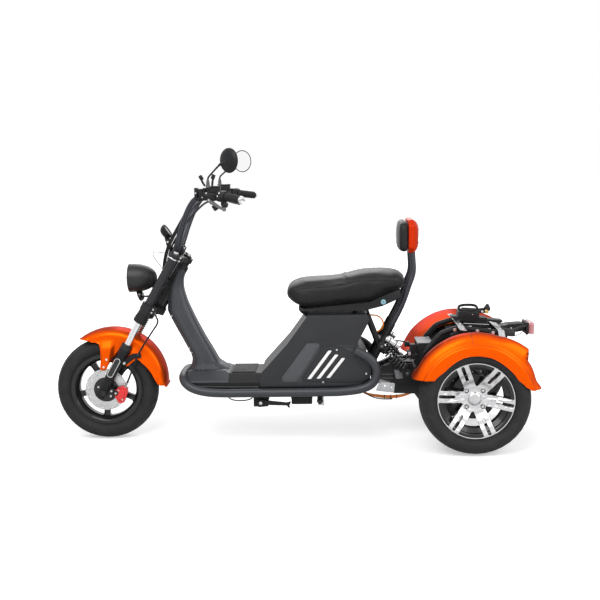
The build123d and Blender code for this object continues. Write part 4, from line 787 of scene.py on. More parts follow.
def makeFrontDisc():
    # a drilled ring with a scalloped inner edge on a black carrier
    shape = frontDisc
    place = wheelPlace(frontAxle, 1, shape["y"])
    scallop = [polar(shape["inner"] + 0.0022 * cos(radians(a * 10)), a) for a in range(0, 360, 3)]
    loops = [[polar(shape["outer"] + 0.0005 * cos(radians(angle * 12)), angle) for angle in range(0, 360, 3)],
             scallop]
    for group in range(12):
        for r, step in ((0.0765, 0), (0.0825, 7), (0.0885, 14), (0.0925, 21)):
            centre = polar(r, group * 30 + step)
            loops.append([centre + polar(0.0021, a) for a in range(0, 360, 36)])
    ring = flatPlate("DiscRing", loops, shape["thick"], place, edge=0.0004)
    finishPiece(ring, "brushedSteel", "front_wheel", replaces=("front_disc",), sharp=30)
    carrier = lathe("DiscCarrier", [(0.013, -0.006), (0.04, -0.006), (0.044, -0.0022), (0.04, 0.0),
                                    (0.013, 0.0)], place, steps=72, closed=True)
    cover = lathe("HubCover", [(0.009, -0.004), (0.05, -0.004), (0.0565, 0.0005), (0.0575, 0.003),
                               (0.055, 0.0052), (0.03, 0.006), (0.028, 0.0085), (0.016, 0.009),
                               (0.009, 0.009)], place, steps=72, closed=True)
    finishPiece(join("DiscCarrier", [carrier, cover]), "rimBlack", "front_wheel", sharp=30)
    spots = [(lifted(place, 0.004, polar(0.037, 72 * i + 20)).translation, (0, 1, 0), 0.0052)
             for i in range(5)]
    fasteners("DiscBolts", spots, "chrome", "front_wheel")


makeFrontDisc()

rearRim = {
    "half": 0.05, "lip": 0.0135, "well": 0.02, "spokes": 6, "firstSpoke": 8.0, "armHalf": 0.0265,
    "rootGap": 0.004,
    "slot": (0.093, 0.1535, 0.0066), "ringOuter": 0.1655, "ringInner": 0.161,
    "face": 0.0552, "thick": 0.013, "lugs": 4, "lugCircle": 0.05, "lugHole": 0.0098, "cap": 0.029,
    "star": (0.0175, 0.0072),
    "dish": ((0.0, 0.05), (0.04, 0.049), (0.06, 0.044), (0.1, 0.024), (0.135, 0.007), (0.156, 0.0)),
}


def dish(obj, place, table):
    # sinks a flat face into the wheel, deeper towards its hub
    work = bmesh.new()
    work.from_mesh(obj.data)
    bmesh.ops.triangulate(work, faces=work.faces)
    for cut in range(3):
        long = [edge for edge in work.edges if edge.calc_length() > 0.01]
        bmesh.ops.subdivide_edges(work, edges=long, cuts=1)
        bmesh.ops.triangulate(work, faces=[face for face in work.faces if len(face.verts) > 3])
    back = place.inverted()
    for vertex in work.verts:
        spot = back @ vertex.co
        spot.z -= along(table, hypot(spot.x, spot.y))
        vertex.co = place @ spot
    work.to_mesh(obj.data)
    work.free()
    return obj


def lugPlaces():
    return [polar(rearRim["lugCircle"], 45 + 360 / rearRim["lugs"] * i) for i in range(rearRim["lugs"])]


def rearFaceLoops():
    # the machined face: a ring and split arms, drawn as one plate with its windows cut
    shape = rearRim
    inset, armHalf, rootGap = shape["ringInner"], shape["armHalf"], shape["rootGap"]
    slotFrom, slotTo, slotHalf = shape["slot"]
    pitch = 360 / shape["spokes"]
    spread, tip = pitch / 2, sqrt(inset ** 2 - armHalf ** 2)
    loops = [[polar(shape["ringOuter"], a) for a in range(0, 360, 3)]]
    for i in range(shape["spokes"]):
        # a window lies between two arms: its straight sides run beside them
        middle = shape["firstSpoke"] + pitch * (i + 0.5)
        corners = [polar(1, middle + side * spread) * tip + polar(1,
                                                                  middle
                                                                  + side * spread - side * 90) * armHalf
                   for side in (-1, 1)]
        start, end = [degrees(atan2(corner.y, corner.x)) for corner in corners]
        end += 360 * (end < start)
        window = [polar(inset, start + (end - start) * k / 12) for k in range(13)]
        root = polar(1, middle) * (armHalf / sin(radians(spread)) + rootGap)
        window += [root + polar(1, middle + 90) * rootGap, root - polar(1, middle + 90) * rootGap]
        loops.append(roundCorners(window, [0.007] + [0.0] * 11 + [0.007, 0.006, 0.006], 5))
        arm = shape["firstSpoke"] + pitch * i
        near, far = polar(slotFrom, arm), polar(slotTo, arm)
        loops.append([near + polar(slotHalf, arm + 90 + k * 22.5) for k in range(9)]
                     + [far + polar(slotHalf * 1.12, arm - 90 + k * 22.5) for k in range(9)])
    for lug in lugPlaces():
        loops.append([lug + polar(shape["lugHole"], a) for a in range(0, 360, 20)])
    return loops


def makeRearRim(node, body, centre, side):
    shape, title, place = rearRim, node.replace("_", ""), wheelPlace(centre, side)
    face, thick = shape["face"], shape["thick"]
    hubSink, lugSink = along(shape["dish"], 0.0), along(shape["dish"], shape["lugCircle"])
    black = [barrel("Barrel", shape["half"], place, tyreShape["bead"], shape["lip"], shape["well"]),
             lathe("Drum", [(0.0125, -0.044), (0.094, -0.044), (0.098, -0.04), (0.098, -0.03), (0.06, -0.026),
                            (0.058, -0.02), (0.0125, -0.02)], place, steps=72, closed=True)]
    smaller = [[p * 0.985 for p in loop] for loop in rearFaceLoops()]
    backing = flatPlate("Backing", smaller, 0.02, lifted(place, face - thick - 0.0085), edge=0.001)
    black.append(dish(backing, place, shape["dish"]))
    black += [lathe("LugCup", [(shape["lugHole"], 0.0), (shape["lugHole"], -0.012), (0.0, -0.012)],
                    lifted(place, face - lugSink, lug), steps=24) for lug in lugPlaces()]
    finishPiece(join(title + "Barrel", black), "rimBlack", body, replaces=(node,), sharp=32)
    plate = flatPlate(title + "Face", rearFaceLoops(), thick, lifted(place, face - thick / 2), edge=0.0011)
    finishPiece(dish(plate, place, shape["dish"]), "machined", body, sharp=30)
    cap = lathe("Cap", [(0, 0.0095), (0.012, 0.0095), (0.02, 0.0086), (0.026, 0.006), (shape["cap"], 0.002),
                        (shape["cap"] + 0.004, 0.0005), (shape["cap"] + 0.004, -0.002), (0, -0.002)],
                lifted(place, face - hubSink), steps=60)
    points = [polar(shape["star"][i % 2], 90 + 36 * i) for i in range(10)]
    star = flatPlate("Star", [points], 0.003, lifted(place, face - hubSink + 0.0092), edge=0.0009)
    nuts = [hexNut("Lug", lifted(place, face - lugSink - 0.0115, lug).translation, (0, side, 0), 0.0068,
                   0.011, 0.003) for lug in lugPlaces()]
    finishPiece(join(title + "CapAndNuts", [cap, star] + nuts), "machined", body, sharp=30)


makeRearRim("rear_rim_left", "rear_wheel_left", leftAxle, 1)
makeRearRim("rear_rim_right", "rear_wheel_right", rightAxle, -1)
print("rims done")

# fenders

def splineThrough(points, steps):
    # a smooth line through the points, passing each of them
    made = []
    points = [Vector(p) for p in points]
    for i in range(len(points) - 1):
        a, b = points[max(i - 1, 0)], points[i]
        c, d = points[i + 1], points[min(i + 2, len(points) - 1)]
        for step in range(steps):
            t = step / steps
            made.append(0.5 * (2 * b + (c - a) * t + (2 * a - 5 * b + 4 * c - d) * t ** 2
                               + (3 * b - a - 3 * c + d) * t ** 3))
    return made + [points[-1]]


frontFender = {
    "centre": (-0.032, 0.0345), "radius": 0.252, "half": 0.0705, "wall": 0.003, "shoulder": 0.034,
    # angle round the crown, then the lower edge set out from the front axle
    "edge": ((54, 0.1085, 0.2425), (57, 0.092, 0.2385), (60, 0.074, 0.2345), (63, 0.057, 0.2312),
             (66, 0.041, 0.2275), (69, 0.026, 0.2235), (71.5, 0.015, 0.217), (73.5, 0.008, 0.206),
             (75.5, 0.004, 0.186), (77.5, 0.004, 0.16), (80, 0.008, 0.13), (83, 0.013, 0.109),
             (84.5, 0.01, 0.101), (87, -0.001, 0.0975), (89.5, -0.012, 0.1), (91.5, -0.02, 0.112),
             (94, -0.03, 0.13), (97.5, -0.044, 0.152), (101, -0.058, 0.172), (105, -0.074, 0.19),
             (110, -0.09, 0.196), (114, -0.094, 0.18), (117, -0.096, 0.158), (120, -0.1, 0.132),
             (122, -0.104, 0.117), (125, -0.112, 0.1165), (128, -0.122, 0.123), (132, -0.14, 0.137),
             (136, -0.157, 0.147), (139, -0.165, 0.143), (143, -0.176, 0.132), (150, -0.196, 0.112),
             (158, -0.217, 0.084), (166, -0.233, 0.052), (174, -0.245, 0.028), (180, -0.256, 0.019),
             (184, -0.268, 0.0165), (186, -0.2835, 0.0175)),
    "width": ((54, 0.6), (57, 0.84), (62, 0.97), (75, 1.0), (168, 1.0), (180, 0.93), (186, 0.74)),
    "crease": ((58, 0), (64, 1), (150, 1), (158, 0)),
    "flare": ((54, 0.002), (62, 0.02), (92, 0.02), (99, 0.0), (117, 0.0), (123, 0.016), (142, 0.016),
              (186, 0.006)),
}


def makeFrontFender():
    shape = frontFender
    line = splineThrough([Vector(entry) for entry in shape["edge"]], 3)
    columns, rows = 14, 16
    points, faces = [], []
    middle = Vector((frontAxle.x + shape["centre"][0], frontAxle.z + shape["centre"][1]))
    for angle, edgeX, edgeZ in line:
        out = Vector((cos(radians(angle)), sin(radians(angle))))
        low = Vector((frontAxle.x + edgeX, frontAxle.z + edgeZ))
        depth = max(0.002, shape["radius"] - (low - middle).length)
        fall = min(shape["shoulder"], 0.85 * depth)
        half = shape["half"] * along(shape["width"], angle)
        side = []
        for i in range(columns + 1):
            c = i / columns
            crease = 0.0016 * ease(1 - abs(c - 0.4) / 0.05) * along(shape["crease"], angle)
            reach = shape["radius"] - fall * (0.87 * (1 - cos(c * pi / 2)) ** 1.15 + 0.13 * c * c) + crease
            side.append((middle + out * reach, half * sin(c * pi / 2) ** 0.9))
        shoulder = side[-1][0]
        for k in range(1, rows + 1):
            spot = shoulder.lerp(low, k / rows)
            flare = along(shape["flare"], angle) * ease(((spot - shoulder).length - 0.006) / 0.058)
            side.append((spot, half + flare))
        points += [Vector((p.x, -y, p.y)) for p, y in side[::-1]]
        points += [Vector((p.x, y, p.y)) for p, y in side[1:]]
    count = len(points) // len(line)
    for row in range(len(line) - 1):
        for i in range(count - 1):
            a = row * count + i
            faces.append((a, a + 1, a + count + 1, a + count))
    made = meshPiece("FrontFender", points, faces)
    finishPiece(made, "orangePaint", "steering", replaces=("front_fender",), wall=shape["wall"], sharp=50)


makeFrontFender()

rearFender = {
    "ends": (0.098, 0.05), "rows": 120, "wall": 0.003,
    # radius and the distance out from the wheel's middle, from the inner edge over the ridge to the arch
    "section": ((0.247, -0.11), (0.258, -0.101), (0.2675, -0.082), (0.2775, -0.052), (0.2855, -0.022),
                (0.291, 0.008), (0.2935, 0.03), (0.292, 0.046), (0.285, 0.0605), (0.274, 0.0715),
                (0.262, 0.0775), (0.252, 0.0815), (0.244, 0.0895), (0.234, 0.0925), (0.218, 0.0905),
                (0.206, 0.0895)),
    "ridge": ((0.0, -0.0095), (0.18, -0.0045), (0.42, 0.0), (0.6, -0.001), (0.83, -0.0165), (0.95, -0.0245),
              (1.0, -0.015)),
    "arch": ((0.0, 0.207), (0.12, 0.197), (0.35, 0.205), (0.55, 0.203), (0.72, 0.197), (0.88, 0.197),
             (0.96, 0.212), (1.0, 0.232)),
    "fin": {"rise": 0.034, "middle": 0.765, "before": 0.17, "after": 0.05, "across": 0.47, "half": 0.3},
}


def makeRearFender(node, centre, side, name):
    shape, fin = rearFender, rearFender["fin"]
    profile = splineThrough([Vector(p) for p in shape["section"]], 5)
    reachLow = shape["section"][-1][0]
    points, faces, count = [], [], len(profile)
    for row in range(shape["rows"] + 1):
        t = row / shape["rows"]
        arch = along(shape["arch"], t)
        for column, (r, y) in enumerate(profile):
            c = column / (count - 1)
            if c > 0.6 and r < 0.254:
                # outer face down to the arch
                r = 0.254 - (0.254 - r) * (0.254 - arch) / (0.254 - reachLow)
            r += along(shape["ridge"], t) * ease((r - 0.236) / 0.05)
            start = degrees(asin(min(0.99, shape["ends"][0] / r)))
            end = 180 - degrees(asin(min(0.99, shape["ends"][1] / r)))
            angle = start + (end - start) * t
            kick = 0.014 * ease((0.055 - t) / 0.055) * ease((0.55 - c) / 0.4)
            kick += 0.003 * ease((t - 0.93) / 0.07)
            width = fin["before"] if t < fin["middle"] else fin["after"]
            rise = fin["rise"] * (1 - abs(t - fin["middle"]) / width) if abs(t - fin["middle"]) < width else 0
            rise *= ease(1 - abs(c - fin["across"]) / fin["half"])
            squeeze = 0.006 * ease((t - 0.8) / 0.2) * ease((c - 0.4) / 0.3)
            reach = r + kick + rise
            points.append(Vector((centre.x + reach * cos(radians(angle)), centre.y + side * (y - squeeze),
                                  centre.z + reach * sin(radians(angle)))))
    for row in range(shape["rows"]):
        for i in range(count - 1):
            a = row * count + i
            faces.append((a, a + 1, a + count + 1, a + count))
    made = meshPiece(name, points, faces)
    finishPiece(made, "orangePaint", replaces=(node,), wall=shape["wall"], sharp=60)
    edge = [points[row * count + count - 1] for row in range(0, shape["rows"] + 1, 2)]
    finishPiece(tube(name + "Edge", edge, 0.0022, sides=10), "orangePaint", sharp=60)
    # seam over the crown, and the two small bolts behind the fin
    seamRow = int(0.44 * shape["rows"])
    seam = [points[seamRow * count + i] for i in range(20, 56)]
    finishPiece(tube(name + "Seam", seam, 0.0009, sides=6), "satinBlack", sharp=60)
    bolts = []
    for share, across in ((0.775, 40), (0.795, 42)):
        spot = points[int(share * shape["rows"]) * count + across]
        out = Vector((spot.x - centre.x, 0, spot.z - centre.z)).normalized()
        bolts.append((spot, out, 0.005))
    fasteners(name + "Bolts", bolts, "satinBlack")


makeRearFender("rear_fender_left", leftAxle, 1, "RearFenderLeft")
makeRearFender("rear_fender_right", rightAxle, -1, "RearFenderRight")
print("fenders done")

# fork, brake, headlight and horn

fork = {"lean": 0.045, "apart": 0.092, "legRadius": 0.021, "stanchion": 0.0157, "legTop": 0.24,
        "shroudLow": 0.372, "lowerYoke": (0.427, 0.461), "upperYoke": (0.7, 0.722)}


def stemPlace(u, v, w):
    # a place whose Z runs up the stem
    return Matrix.Translation(onStem(u, v, w)) @ Matrix((stemAhead, stemAcross,
                                                         stemAxis)).transposed().to_4x4()


def makeFork():
    chrome, collars, boots = [], [], []
    for side in (1, -1):
        v = side * fork["apart"]
        place = stemPlace(fork["lean"], v, 0)
        low, high = fork["legTop"] + 0.001, fork["shroudLow"] - 0.001
        chrome.append(lathe("Stanchion", [(0.0, low), (fork["stanchion"], low), (fork["stanchion"], high),
                                          (0.0, high)], place, steps=48))
        # dust seal, cap rings on the leg, and the flared collar of the shroud
        collars.append(lathe("Seal", [(0.016, 0.236), (0.0245, 0.236), (0.025, 0.24), (0.0235, 0.246),
                                      (0.0185, 0.25), (0.016, 0.25)], place, steps=48, closed=True))
        for w in (0.206, 0.214):
            collars.append(lathe("Rib", [(0.0205, w), (0.0247, w), (0.0247, w + 0.003), (0.0205, w + 0.003)],
                                 place, steps=48, closed=True))
        boots.append(lathe("Collar", [(0.0165, 0.3655), (0.0285, 0.3655), (0.0305, 0.368), (0.031, 0.378),
                                      (0.0296, 0.392), (0.0272, 0.41), (0.0262, 0.4265), (0.024, 0.4265),
                                      (0.0165, 0.372)], place, steps=56, closed=True))
    finishPiece(join("ForkStanchions", chrome), "chrome", "steering")
    finishPiece(join("ForkSeals", collars), "satinBlack", "steering")
    finishPiece(join("ForkCollars", boots), "darkPlastic", "steering")
    # the far leg's spring wire guard, seen behind the near one
    rings = []
    for i in range(11):
        w = 0.252 + i * 0.0105
        rings.append(lathe("Ring", [(0.0155, w), (0.0178, w + 0.001), (0.0178, w + 0.004),
                                    (0.0155, w + 0.005)], stemPlace(fork["lean"], -fork["apart"], 0),
                           steps=36, closed=True))
    finishPiece(join("ForkFarRings", rings), "satinBlack", "steering")


def makeYokes():
    blocks, spots = [], []
    for low, high in (fork["lowerYoke"], fork["upperYoke"]):
        for side in (1, -1):
            middle = (low + high) / 2
            place = stemPlace(fork["lean"] - 0.03, side * (fork["apart"] + 0.002), middle)
            blocks.append(roundedBox("Clamp", (0.024, 0.026, high - low + 0.006), place, 0.004))
            for w in (middle - 0.008, middle + 0.008):
                spots.append((onStem(fork["lean"] - 0.03, side * (fork["apart"] + 0.015), w), (0, side, 0),
                              0.0048))
    finishPiece(join("YokeClamps", blocks), "satinBlack", "steering")
    for side in (1, -1):
        spots.append((onStem(fork["lean"], side * fork["apart"], 0.722), stemAxis, 0.012))
    spots.append((onStem(0, 0, 0.7305), stemAxis, 0.013))
    fasteners("YokeBolts", spots, "brushedSteel", "steering")
    rings = [lathe("YokeRing", [(0.02, 0.6965), (0.0268, 0.6965), (0.0275, 0.699), (0.0268, 0.7015),
                                (0.02, 0.7015)], stemPlace(fork["lean"], side * fork["apart"], 0), steps=48,
                   closed=True) for side in (1, -1)]
    finishPiece(join("YokeRings", rings), "chrome", "steering")


def makeReflectors():
    plates, rims = [], []
    middle, reach, half = 0.129, 0.035, 0.0125
    for side in (1, -1):
        outline = arcPoints((middle + reach, 0), half, -90, 90, 12)
        outline += arcPoints((middle - reach, 0), half, 90, 270, 12)
        y = side * (fork["apart"] + fork["legRadius"] + 0.0045)
        place = Matrix.Translation(onStem(0.047, y, 0)) @ Matrix(
            (stemAxis, stemAhead * side, stemAxis.cross(stemAhead * side))).transposed().to_4x4()
        plates.append(flatPlate("Capsule", [outline], 0.006, place, 0.0015))
        outward = 1 if place.to_3x3().col[2].y * side > 0 else -1
        path = [place @ Vector((a, b, 0.0032 * outward)) for a, b in outline]
        rims.append(tube("CapsuleRim", path + path[:2], 0.0011, sides=8))
    finishPiece(join("ForkReflectors", plates), "glossBlack", "steering", replaces=("fork_reflectors",))
    finishPiece(join("ForkReflectorRims", rims), "slotWhite", "steering")


brake = {"outline": ((-0.044, -0.002), (-0.06, 0.014), (-0.09, 0.022), (-0.104, 0.008), (-0.104, -0.014),
                     (-0.086, -0.058), (-0.062, -0.06), (-0.045, -0.03)), "y": (0.05, 0.078)}


def makeCaliper():
    outline = roundCorners([(frontAxle.x + x, frontAxle.z + z) for x, z in brake["outline"]], 0.012, 5)
    low, high = brake["y"]
    parts = []
    for middle, depth, shrink in ((0.0345, 0.012, 0.86), ((low + high) / 2, high - low, 1.0),
                                  (high + 0.003, 0.008, 0.62)):
        centre = sum((Vector(p) for p in outline), Vector((0, 0))) / len(outline)
        ring = [centre + (Vector(p) - centre) * shrink for p in outline]
        parts.append(flatPlate("Caliper", [ring], depth, sideAt(middle), 0.003))
    finishPiece(join("FrontCaliper", parts), "caliperRed", "steering", replaces=("front_caliper",), sharp=30)
    arm = roundedBox("CaliperArm", (0.052, 0.012, 0.02), stemPlace(0.002, 0.08, 0.018), 0.003)
    finishPiece(arm, "satinBlack", "steering")
    out = Vector((0, 1, 0))
    spots = [(frontAxle + Vector((x, high + 0.0065, z)), out, 0.0042)
             for x, z in ((-0.066, 0.004), (-0.082, -0.04))]
    spots += [(onStem(u, 0.086, 0.018), out, 0.0055) for u in (-0.012, 0.01)]
    fasteners("CaliperBolts", spots, "brushedSteel", "steering")
    clip = [frontAxle + Vector(p) for p in ((-0.106, 0.066, 0.012), (-0.122, 0.07, 0.02),
                                            (-0.128, 0.072, 0.034), (-0.118, 0.074, 0.044),
                                            (-0.108, 0.074, 0.036))]
    cable("CaliperSpring", clip, 0.0012, "brushedSteel", "steering", sides=8)


def makeFenderBolts():
    out = Vector((0, 1, 0))
    spots = []
    for x, z, y in ((-0.019, 0.15, 0.0905), (-0.004, 0.115, 0.0905), (-0.112, 0.133, 0.0865)):
        for side in (1, -1):
            spots.append((frontAxle + Vector((x, side * y, z)), out * side, 0.0058))
    fasteners("FenderBolts", spots, "chrome", "steering", socket=False)


lampLook = {"front": (-0.122, 0.75), "radius": 0.0655, "length": 0.126}


def makeHeadlight():
    place = Matrix.Translation(ahead(*lampLook["front"])) @ frameFor(Vector((-1, 0, 0)))
    r = lampLook["radius"]
    shell = [(r - 0.006, 0.006), (r - 0.0035, 0.001), (r, 0.0), (r + 0.0012, 0.006), (r, 0.01), (r, 0.022)]
    shell += [(r * cos(t * pi / 2 * 0.96) ** 0.92, 0.022 + (lampLook["length"] - 0.022) * sin(t * pi / 2))
              for t in [i / 22 for i in range(1, 22)]]
    shell += [(0.01, lampLook["length"]), (0.0, lampLook["length"] + 0.001)]
    bullet = lathe("HeadlightShell", shell, place, steps=96)
    bracket = flatPlate("HeadlightBracket",
                        [roundCorners([ahead(x, z).xz for x, z in ((-0.226, 0.729), (-0.262, 0.744),
                                                                   (-0.276, 0.7), (-0.274, 0.636),
                                                                   (-0.25, 0.598), (-0.228, 0.602),
                                                                   (-0.226, 0.668))], 0.008, 4)], 0.016,
                        sidePlane, 0.002)
    finishPiece(join("Headlight", [bullet, bracket]), "lampBlack", "steering", replaces=("headlight",),
                sharp=40)
    lip = lathe("HeadlightRing", [(r - 0.008, 0.004), (r - 0.004, -0.001), (r - 0.0015, 0.0),
                                  (r - 0.004, 0.006)], place, steps=96, closed=True)
    finishPiece(lip, "chrome", "steering")
    glass = lathe("HeadlightLens", [(0.0, -0.004), (0.022, -0.003), (0.04, -0.0005), (r - 0.0062, 0.005),
                                    (r - 0.0062, 0.009), (0.0, 0.009)], place, steps=80)
    finishPiece(glass, "clearLens", "steering", replaces=("headlight_lens",))
    bowl = lathe("HeadlightBowl", [(r - 0.0065, 0.0095), (0.045, 0.017), (0.028, 0.021), (0.012, 0.022),
                                   (0.0, 0.018)], place, steps=64)
    finishPiece(bowl, "machined", "steering")
    side = Vector((0, 1, 0))
    spots = [(ahead(-0.262, z, 0.008), side, 0.005) for z in (0.64, 0.7)]
    fasteners("BracketBolts", spots, "brushedSteel", "steering")


def makeHorn():
    place = standAt(ahead(-0.163, 0.666), (0.94, 0, -0.34))
    shell = lathe("HornShell", [(0.0, -0.022), (0.014, -0.022), (0.018, -0.016), (0.024, -0.013),
                                (0.026, -0.004), (0.026, 0.0), (0.0245, 0.0025), (0.0205, 0.0008),
                                (0.014, 0.0016), (0.006, 0.003), (0.0, 0.0034)], place, steps=64)
    grooves = [lathe("HornRing", [(r, 0.0022), (r + 0.0006, 0.0032), (r + 0.0012, 0.0022)], place, steps=48,
                     closed=True) for r in (0.009, 0.013, 0.017)]
    arm = tube("HornArm", [ahead(-0.181, 0.662), ahead(-0.205, 0.664), ahead(-0.234, 0.668)], 0.0045, 12)
    finishPiece(join("Horn", [shell, arm] + grooves), "glossBlack", "steering", replaces=("horn",))


def makeHose():
    # braided hose from the lower yoke to the caliper, held by a pressed bracket behind the leg
    route = [frontAxle + Vector((x, y, z)) for x, y, z in (
        (-0.241, 0.062, 0.358), (-0.25, 0.072, 0.345), (-0.264, 0.084, 0.318), (-0.236, 0.092, 0.28),
        (-0.166, 0.094, 0.176), (-0.138, 0.094, 0.108), (-0.112, 0.09, 0.046), (-0.092, 0.07, 0.012))]
    line = cablePath(route)
    made = tube("BrakeHose", line, 0.0042, 14)
    finishPiece(made, "blackCable", "steering", replaces=("brake_hose",), sharp=60)
    ends = [tube("HoseEnd", line[:5], 0.0056, 16), tube("HoseEnd", line[-5:], 0.0056, 16)]
    finishPiece(join("HoseEnds", ends), "zincPlate", "steering")
    outline = roundCorners([(frontAxle.x + x, frontAxle.z + z) for x, z in (
        (-0.084, 0.134), (-0.1, 0.118), (-0.146, 0.152), (-0.18, 0.156), (-0.178, 0.178),
        (-0.138, 0.176))], 0.006, 4)
    plate = flatPlate("HoseBracket", [outline], 0.003, sideAt(0.0905), 0.0008)
    post = tube("HosePost", [frontAxle + Vector((-0.1, 0.06, 0.132)),
                             frontAxle + Vector((-0.1, 0.09, 0.132))], 0.006, 14)
    clip = lathe("HoseClip", [(0.0044, -0.006), (0.0066, -0.006), (0.0066, 0.006), (0.0044, 0.006)],
                 standAt(frontAxle + Vector((-0.164, 0.094, 0.171)), (0.5, 0, 0.86)), steps=28, closed=True)
    finishPiece(join("HoseBracket", [plate, post, clip]), "satinBlack", "steering")
    out = Vector((0, 1, 0))
    fasteners("HoseBolt", [(frontAxle + Vector((-0.1, 0.092, 0.1325)), out, 0.007)], "brushedSteel",
              "steering", socket=False)


def makeAxleNut():
    # nut and plate screws on the near face of the front hub
    nut = hexNut("FrontAxleNut", frontAxle + Vector((0.014, 0.077, -0.004)), (0, 1, 0), 0.01, 0.006, 0.003)
    finishPiece(nut, "brushedSteel", "steering")


def makeConduit():
    # ribbed sleeve of the wiring loom beside the stem
    line = cablePath([onStem(0.04, 0.03, 0.64), onStem(0.042, 0.04, 0.62), onStem(0.034, 0.047, 0.59),
                      onStem(0.022, 0.049, 0.566)])
    radii = [0.0066 + 0.0009 * (i % 2) for i in range(len(line))]
    made = tube("LoomSleeve", line, radii, 14)
    finishPiece(made, "blackCable", "steering", sharp=60)


makeFork()
makeHose()
makeAxleNut()
makeConduit()
makeYokes()
makeReflectors()
makeCaliper()
makeFenderBolts()
makeHeadlight()
makeHorn()
print("front end done")

# handlebar, grips, mirrors and what is clamped to them

def taperTube(name, points, sides=24, steps=8):
    # each point holds x and height from the front axle and floor, the place across and the radius there
    line = splineThrough([Vector(p) for p in points], steps)
    return tube(name, aheadAll(line), [p[3] for p in line], sides)


def swapSide(points):
    return [(p[0], p[1], -p[2], *p[3:]) for p in points]


bars = {
    "riser": ((-0.348, 0.868, 0.05, 0.017), (-0.358, 0.893, 0.058, 0.0168), (-0.371, 0.935, 0.074, 0.0155),
              (-0.385, 0.976, 0.088, 0.014), (-0.409, 1.036, 0.105, 0.013), (-0.432, 1.08, 0.116, 0.0125),
              (-0.456, 1.107, 0.128, 0.0122), (-0.492, 1.122, 0.15, 0.012), (-0.545, 1.128, 0.196, 0.0115),
              (-0.592, 1.125, 0.24, 0.011), (-0.634, 1.1175, 0.286, 0.011)),
    "gripStart": (-0.6, 1.1235, 0.249), "gripEnd": (-0.681, 1.109, 0.338), "gripRadius": 0.016,
    "lever": ((-0.524, 1.106, 0.208, 0.006), (-0.541, 1.098, 0.232, 0.0085), (-0.562, 1.087, 0.258, 0.0078),
              (-0.583, 1.077, 0.286, 0.0062), (-0.6, 1.0715, 0.312, 0.0058), (-0.606, 1.0705, 0.326, 0.0085),
              (-0.608, 1.0705, 0.332, 0.005)),
    "mirror": (-0.63, 1.274, 0.3), "mirrorRadius": 0.0525, "gaze": (-0.643, -0.766, 0.0),
    "stem": ((-0.527, 1.176, 0.22, 0.004), (-0.5275, 1.1945, 0.22, 0.0038), (-0.5295, 1.203, 0.221, 0.0038),
             (-0.536, 1.211, 0.228, 0.0038), (-0.56, 1.233, 0.254, 0.0038), (-0.586, 1.256, 0.28, 0.0042)),
}


def makeRisers():
    parts = [taperTube("Riser", bars["riser"]), taperTube("Riser", swapSide(bars["riser"]))]
    finishPiece(join("HandlebarTubes", parts), "barGrey", "steering", replaces=("handlebar",), sharp=60)
    blocks = [lathe("BaseTube", [(0.0, -0.058), (0.015, -0.058), (0.0165, -0.055), (0.0165, 0.055),
                                 (0.015, 0.058), (0.0, 0.058)], Matrix.Translation(ahead(-0.354, 0.884))
                    @ frameFor(Vector((0, 1, 0))), 40)]
    spots = []
    for side in (1, -1):
        place = Matrix.Translation(ahead(-0.356, 0.878, side * 0.03)) @ stemPlace(0, 0, 0).to_3x3().to_4x4()
        blocks.append(roundedBox("BarClamp", (0.05, 0.026, 0.04), place, 0.006))
        for lean in (-0.019, 0.019):
            spots.append((ahead(-0.356, 0.878, side * 0.03) + stemAhead * lean + stemAxis * 0.02, stemAxis,
                          0.0055))
    finishPiece(join("BarClamps", blocks), "satinBlack", "steering")
    fasteners("BarClampBolts", spots, "brushedSteel", "steering")


def makeGrips():
    sleeves, caps = [], []
    for flip in (1, -1):
        start, end = aheadAll((bars["gripStart"], bars["gripEnd"]), flip)
        place, length, r = standAt(start, end - start), (end - start).length, bars["gripRadius"]
        profile = [(0.0112, 0.0), (0.0195, 0.0), (0.0205, 0.002), (0.0195, 0.0045), (r + 0.001, 0.007)]
        ribs = 26
        for i in range(ribs):
            h = 0.01 + (length - 0.022) * i / ribs
            profile += [(r, h), (r + 0.0008, h + 0.0008), (r + 0.0008, h + 0.0022), (r, h + 0.003)]
        profile += [(r + 0.0006, length - 0.009), (r + 0.0006, length - 0.003), (0.0112, length - 0.003)]
        sleeves.append(lathe("Grip", profile, place, steps=44, closed=True))
        caps.append(lathe("Cap", [(0.0, 0.0045), (0.005, 0.004), (0.0065, 0.001), (0.0085, 0.0005),
                                  (0.0105, 0.0055), (0.0135, 0.006), (0.0158, 0.004), (0.0164, 0.0),
                                  (0.0164, -0.0032), (0.0, -0.0032)],
                          place @ Matrix.Translation((0, 0, length)), steps=44))
    finishPiece(join("Grips", sleeves), "gripRubber", "steering", replaces=("grips",), sharp=40)
    finishPiece(join("GripCaps", caps), "chrome", "steering", sharp=40)


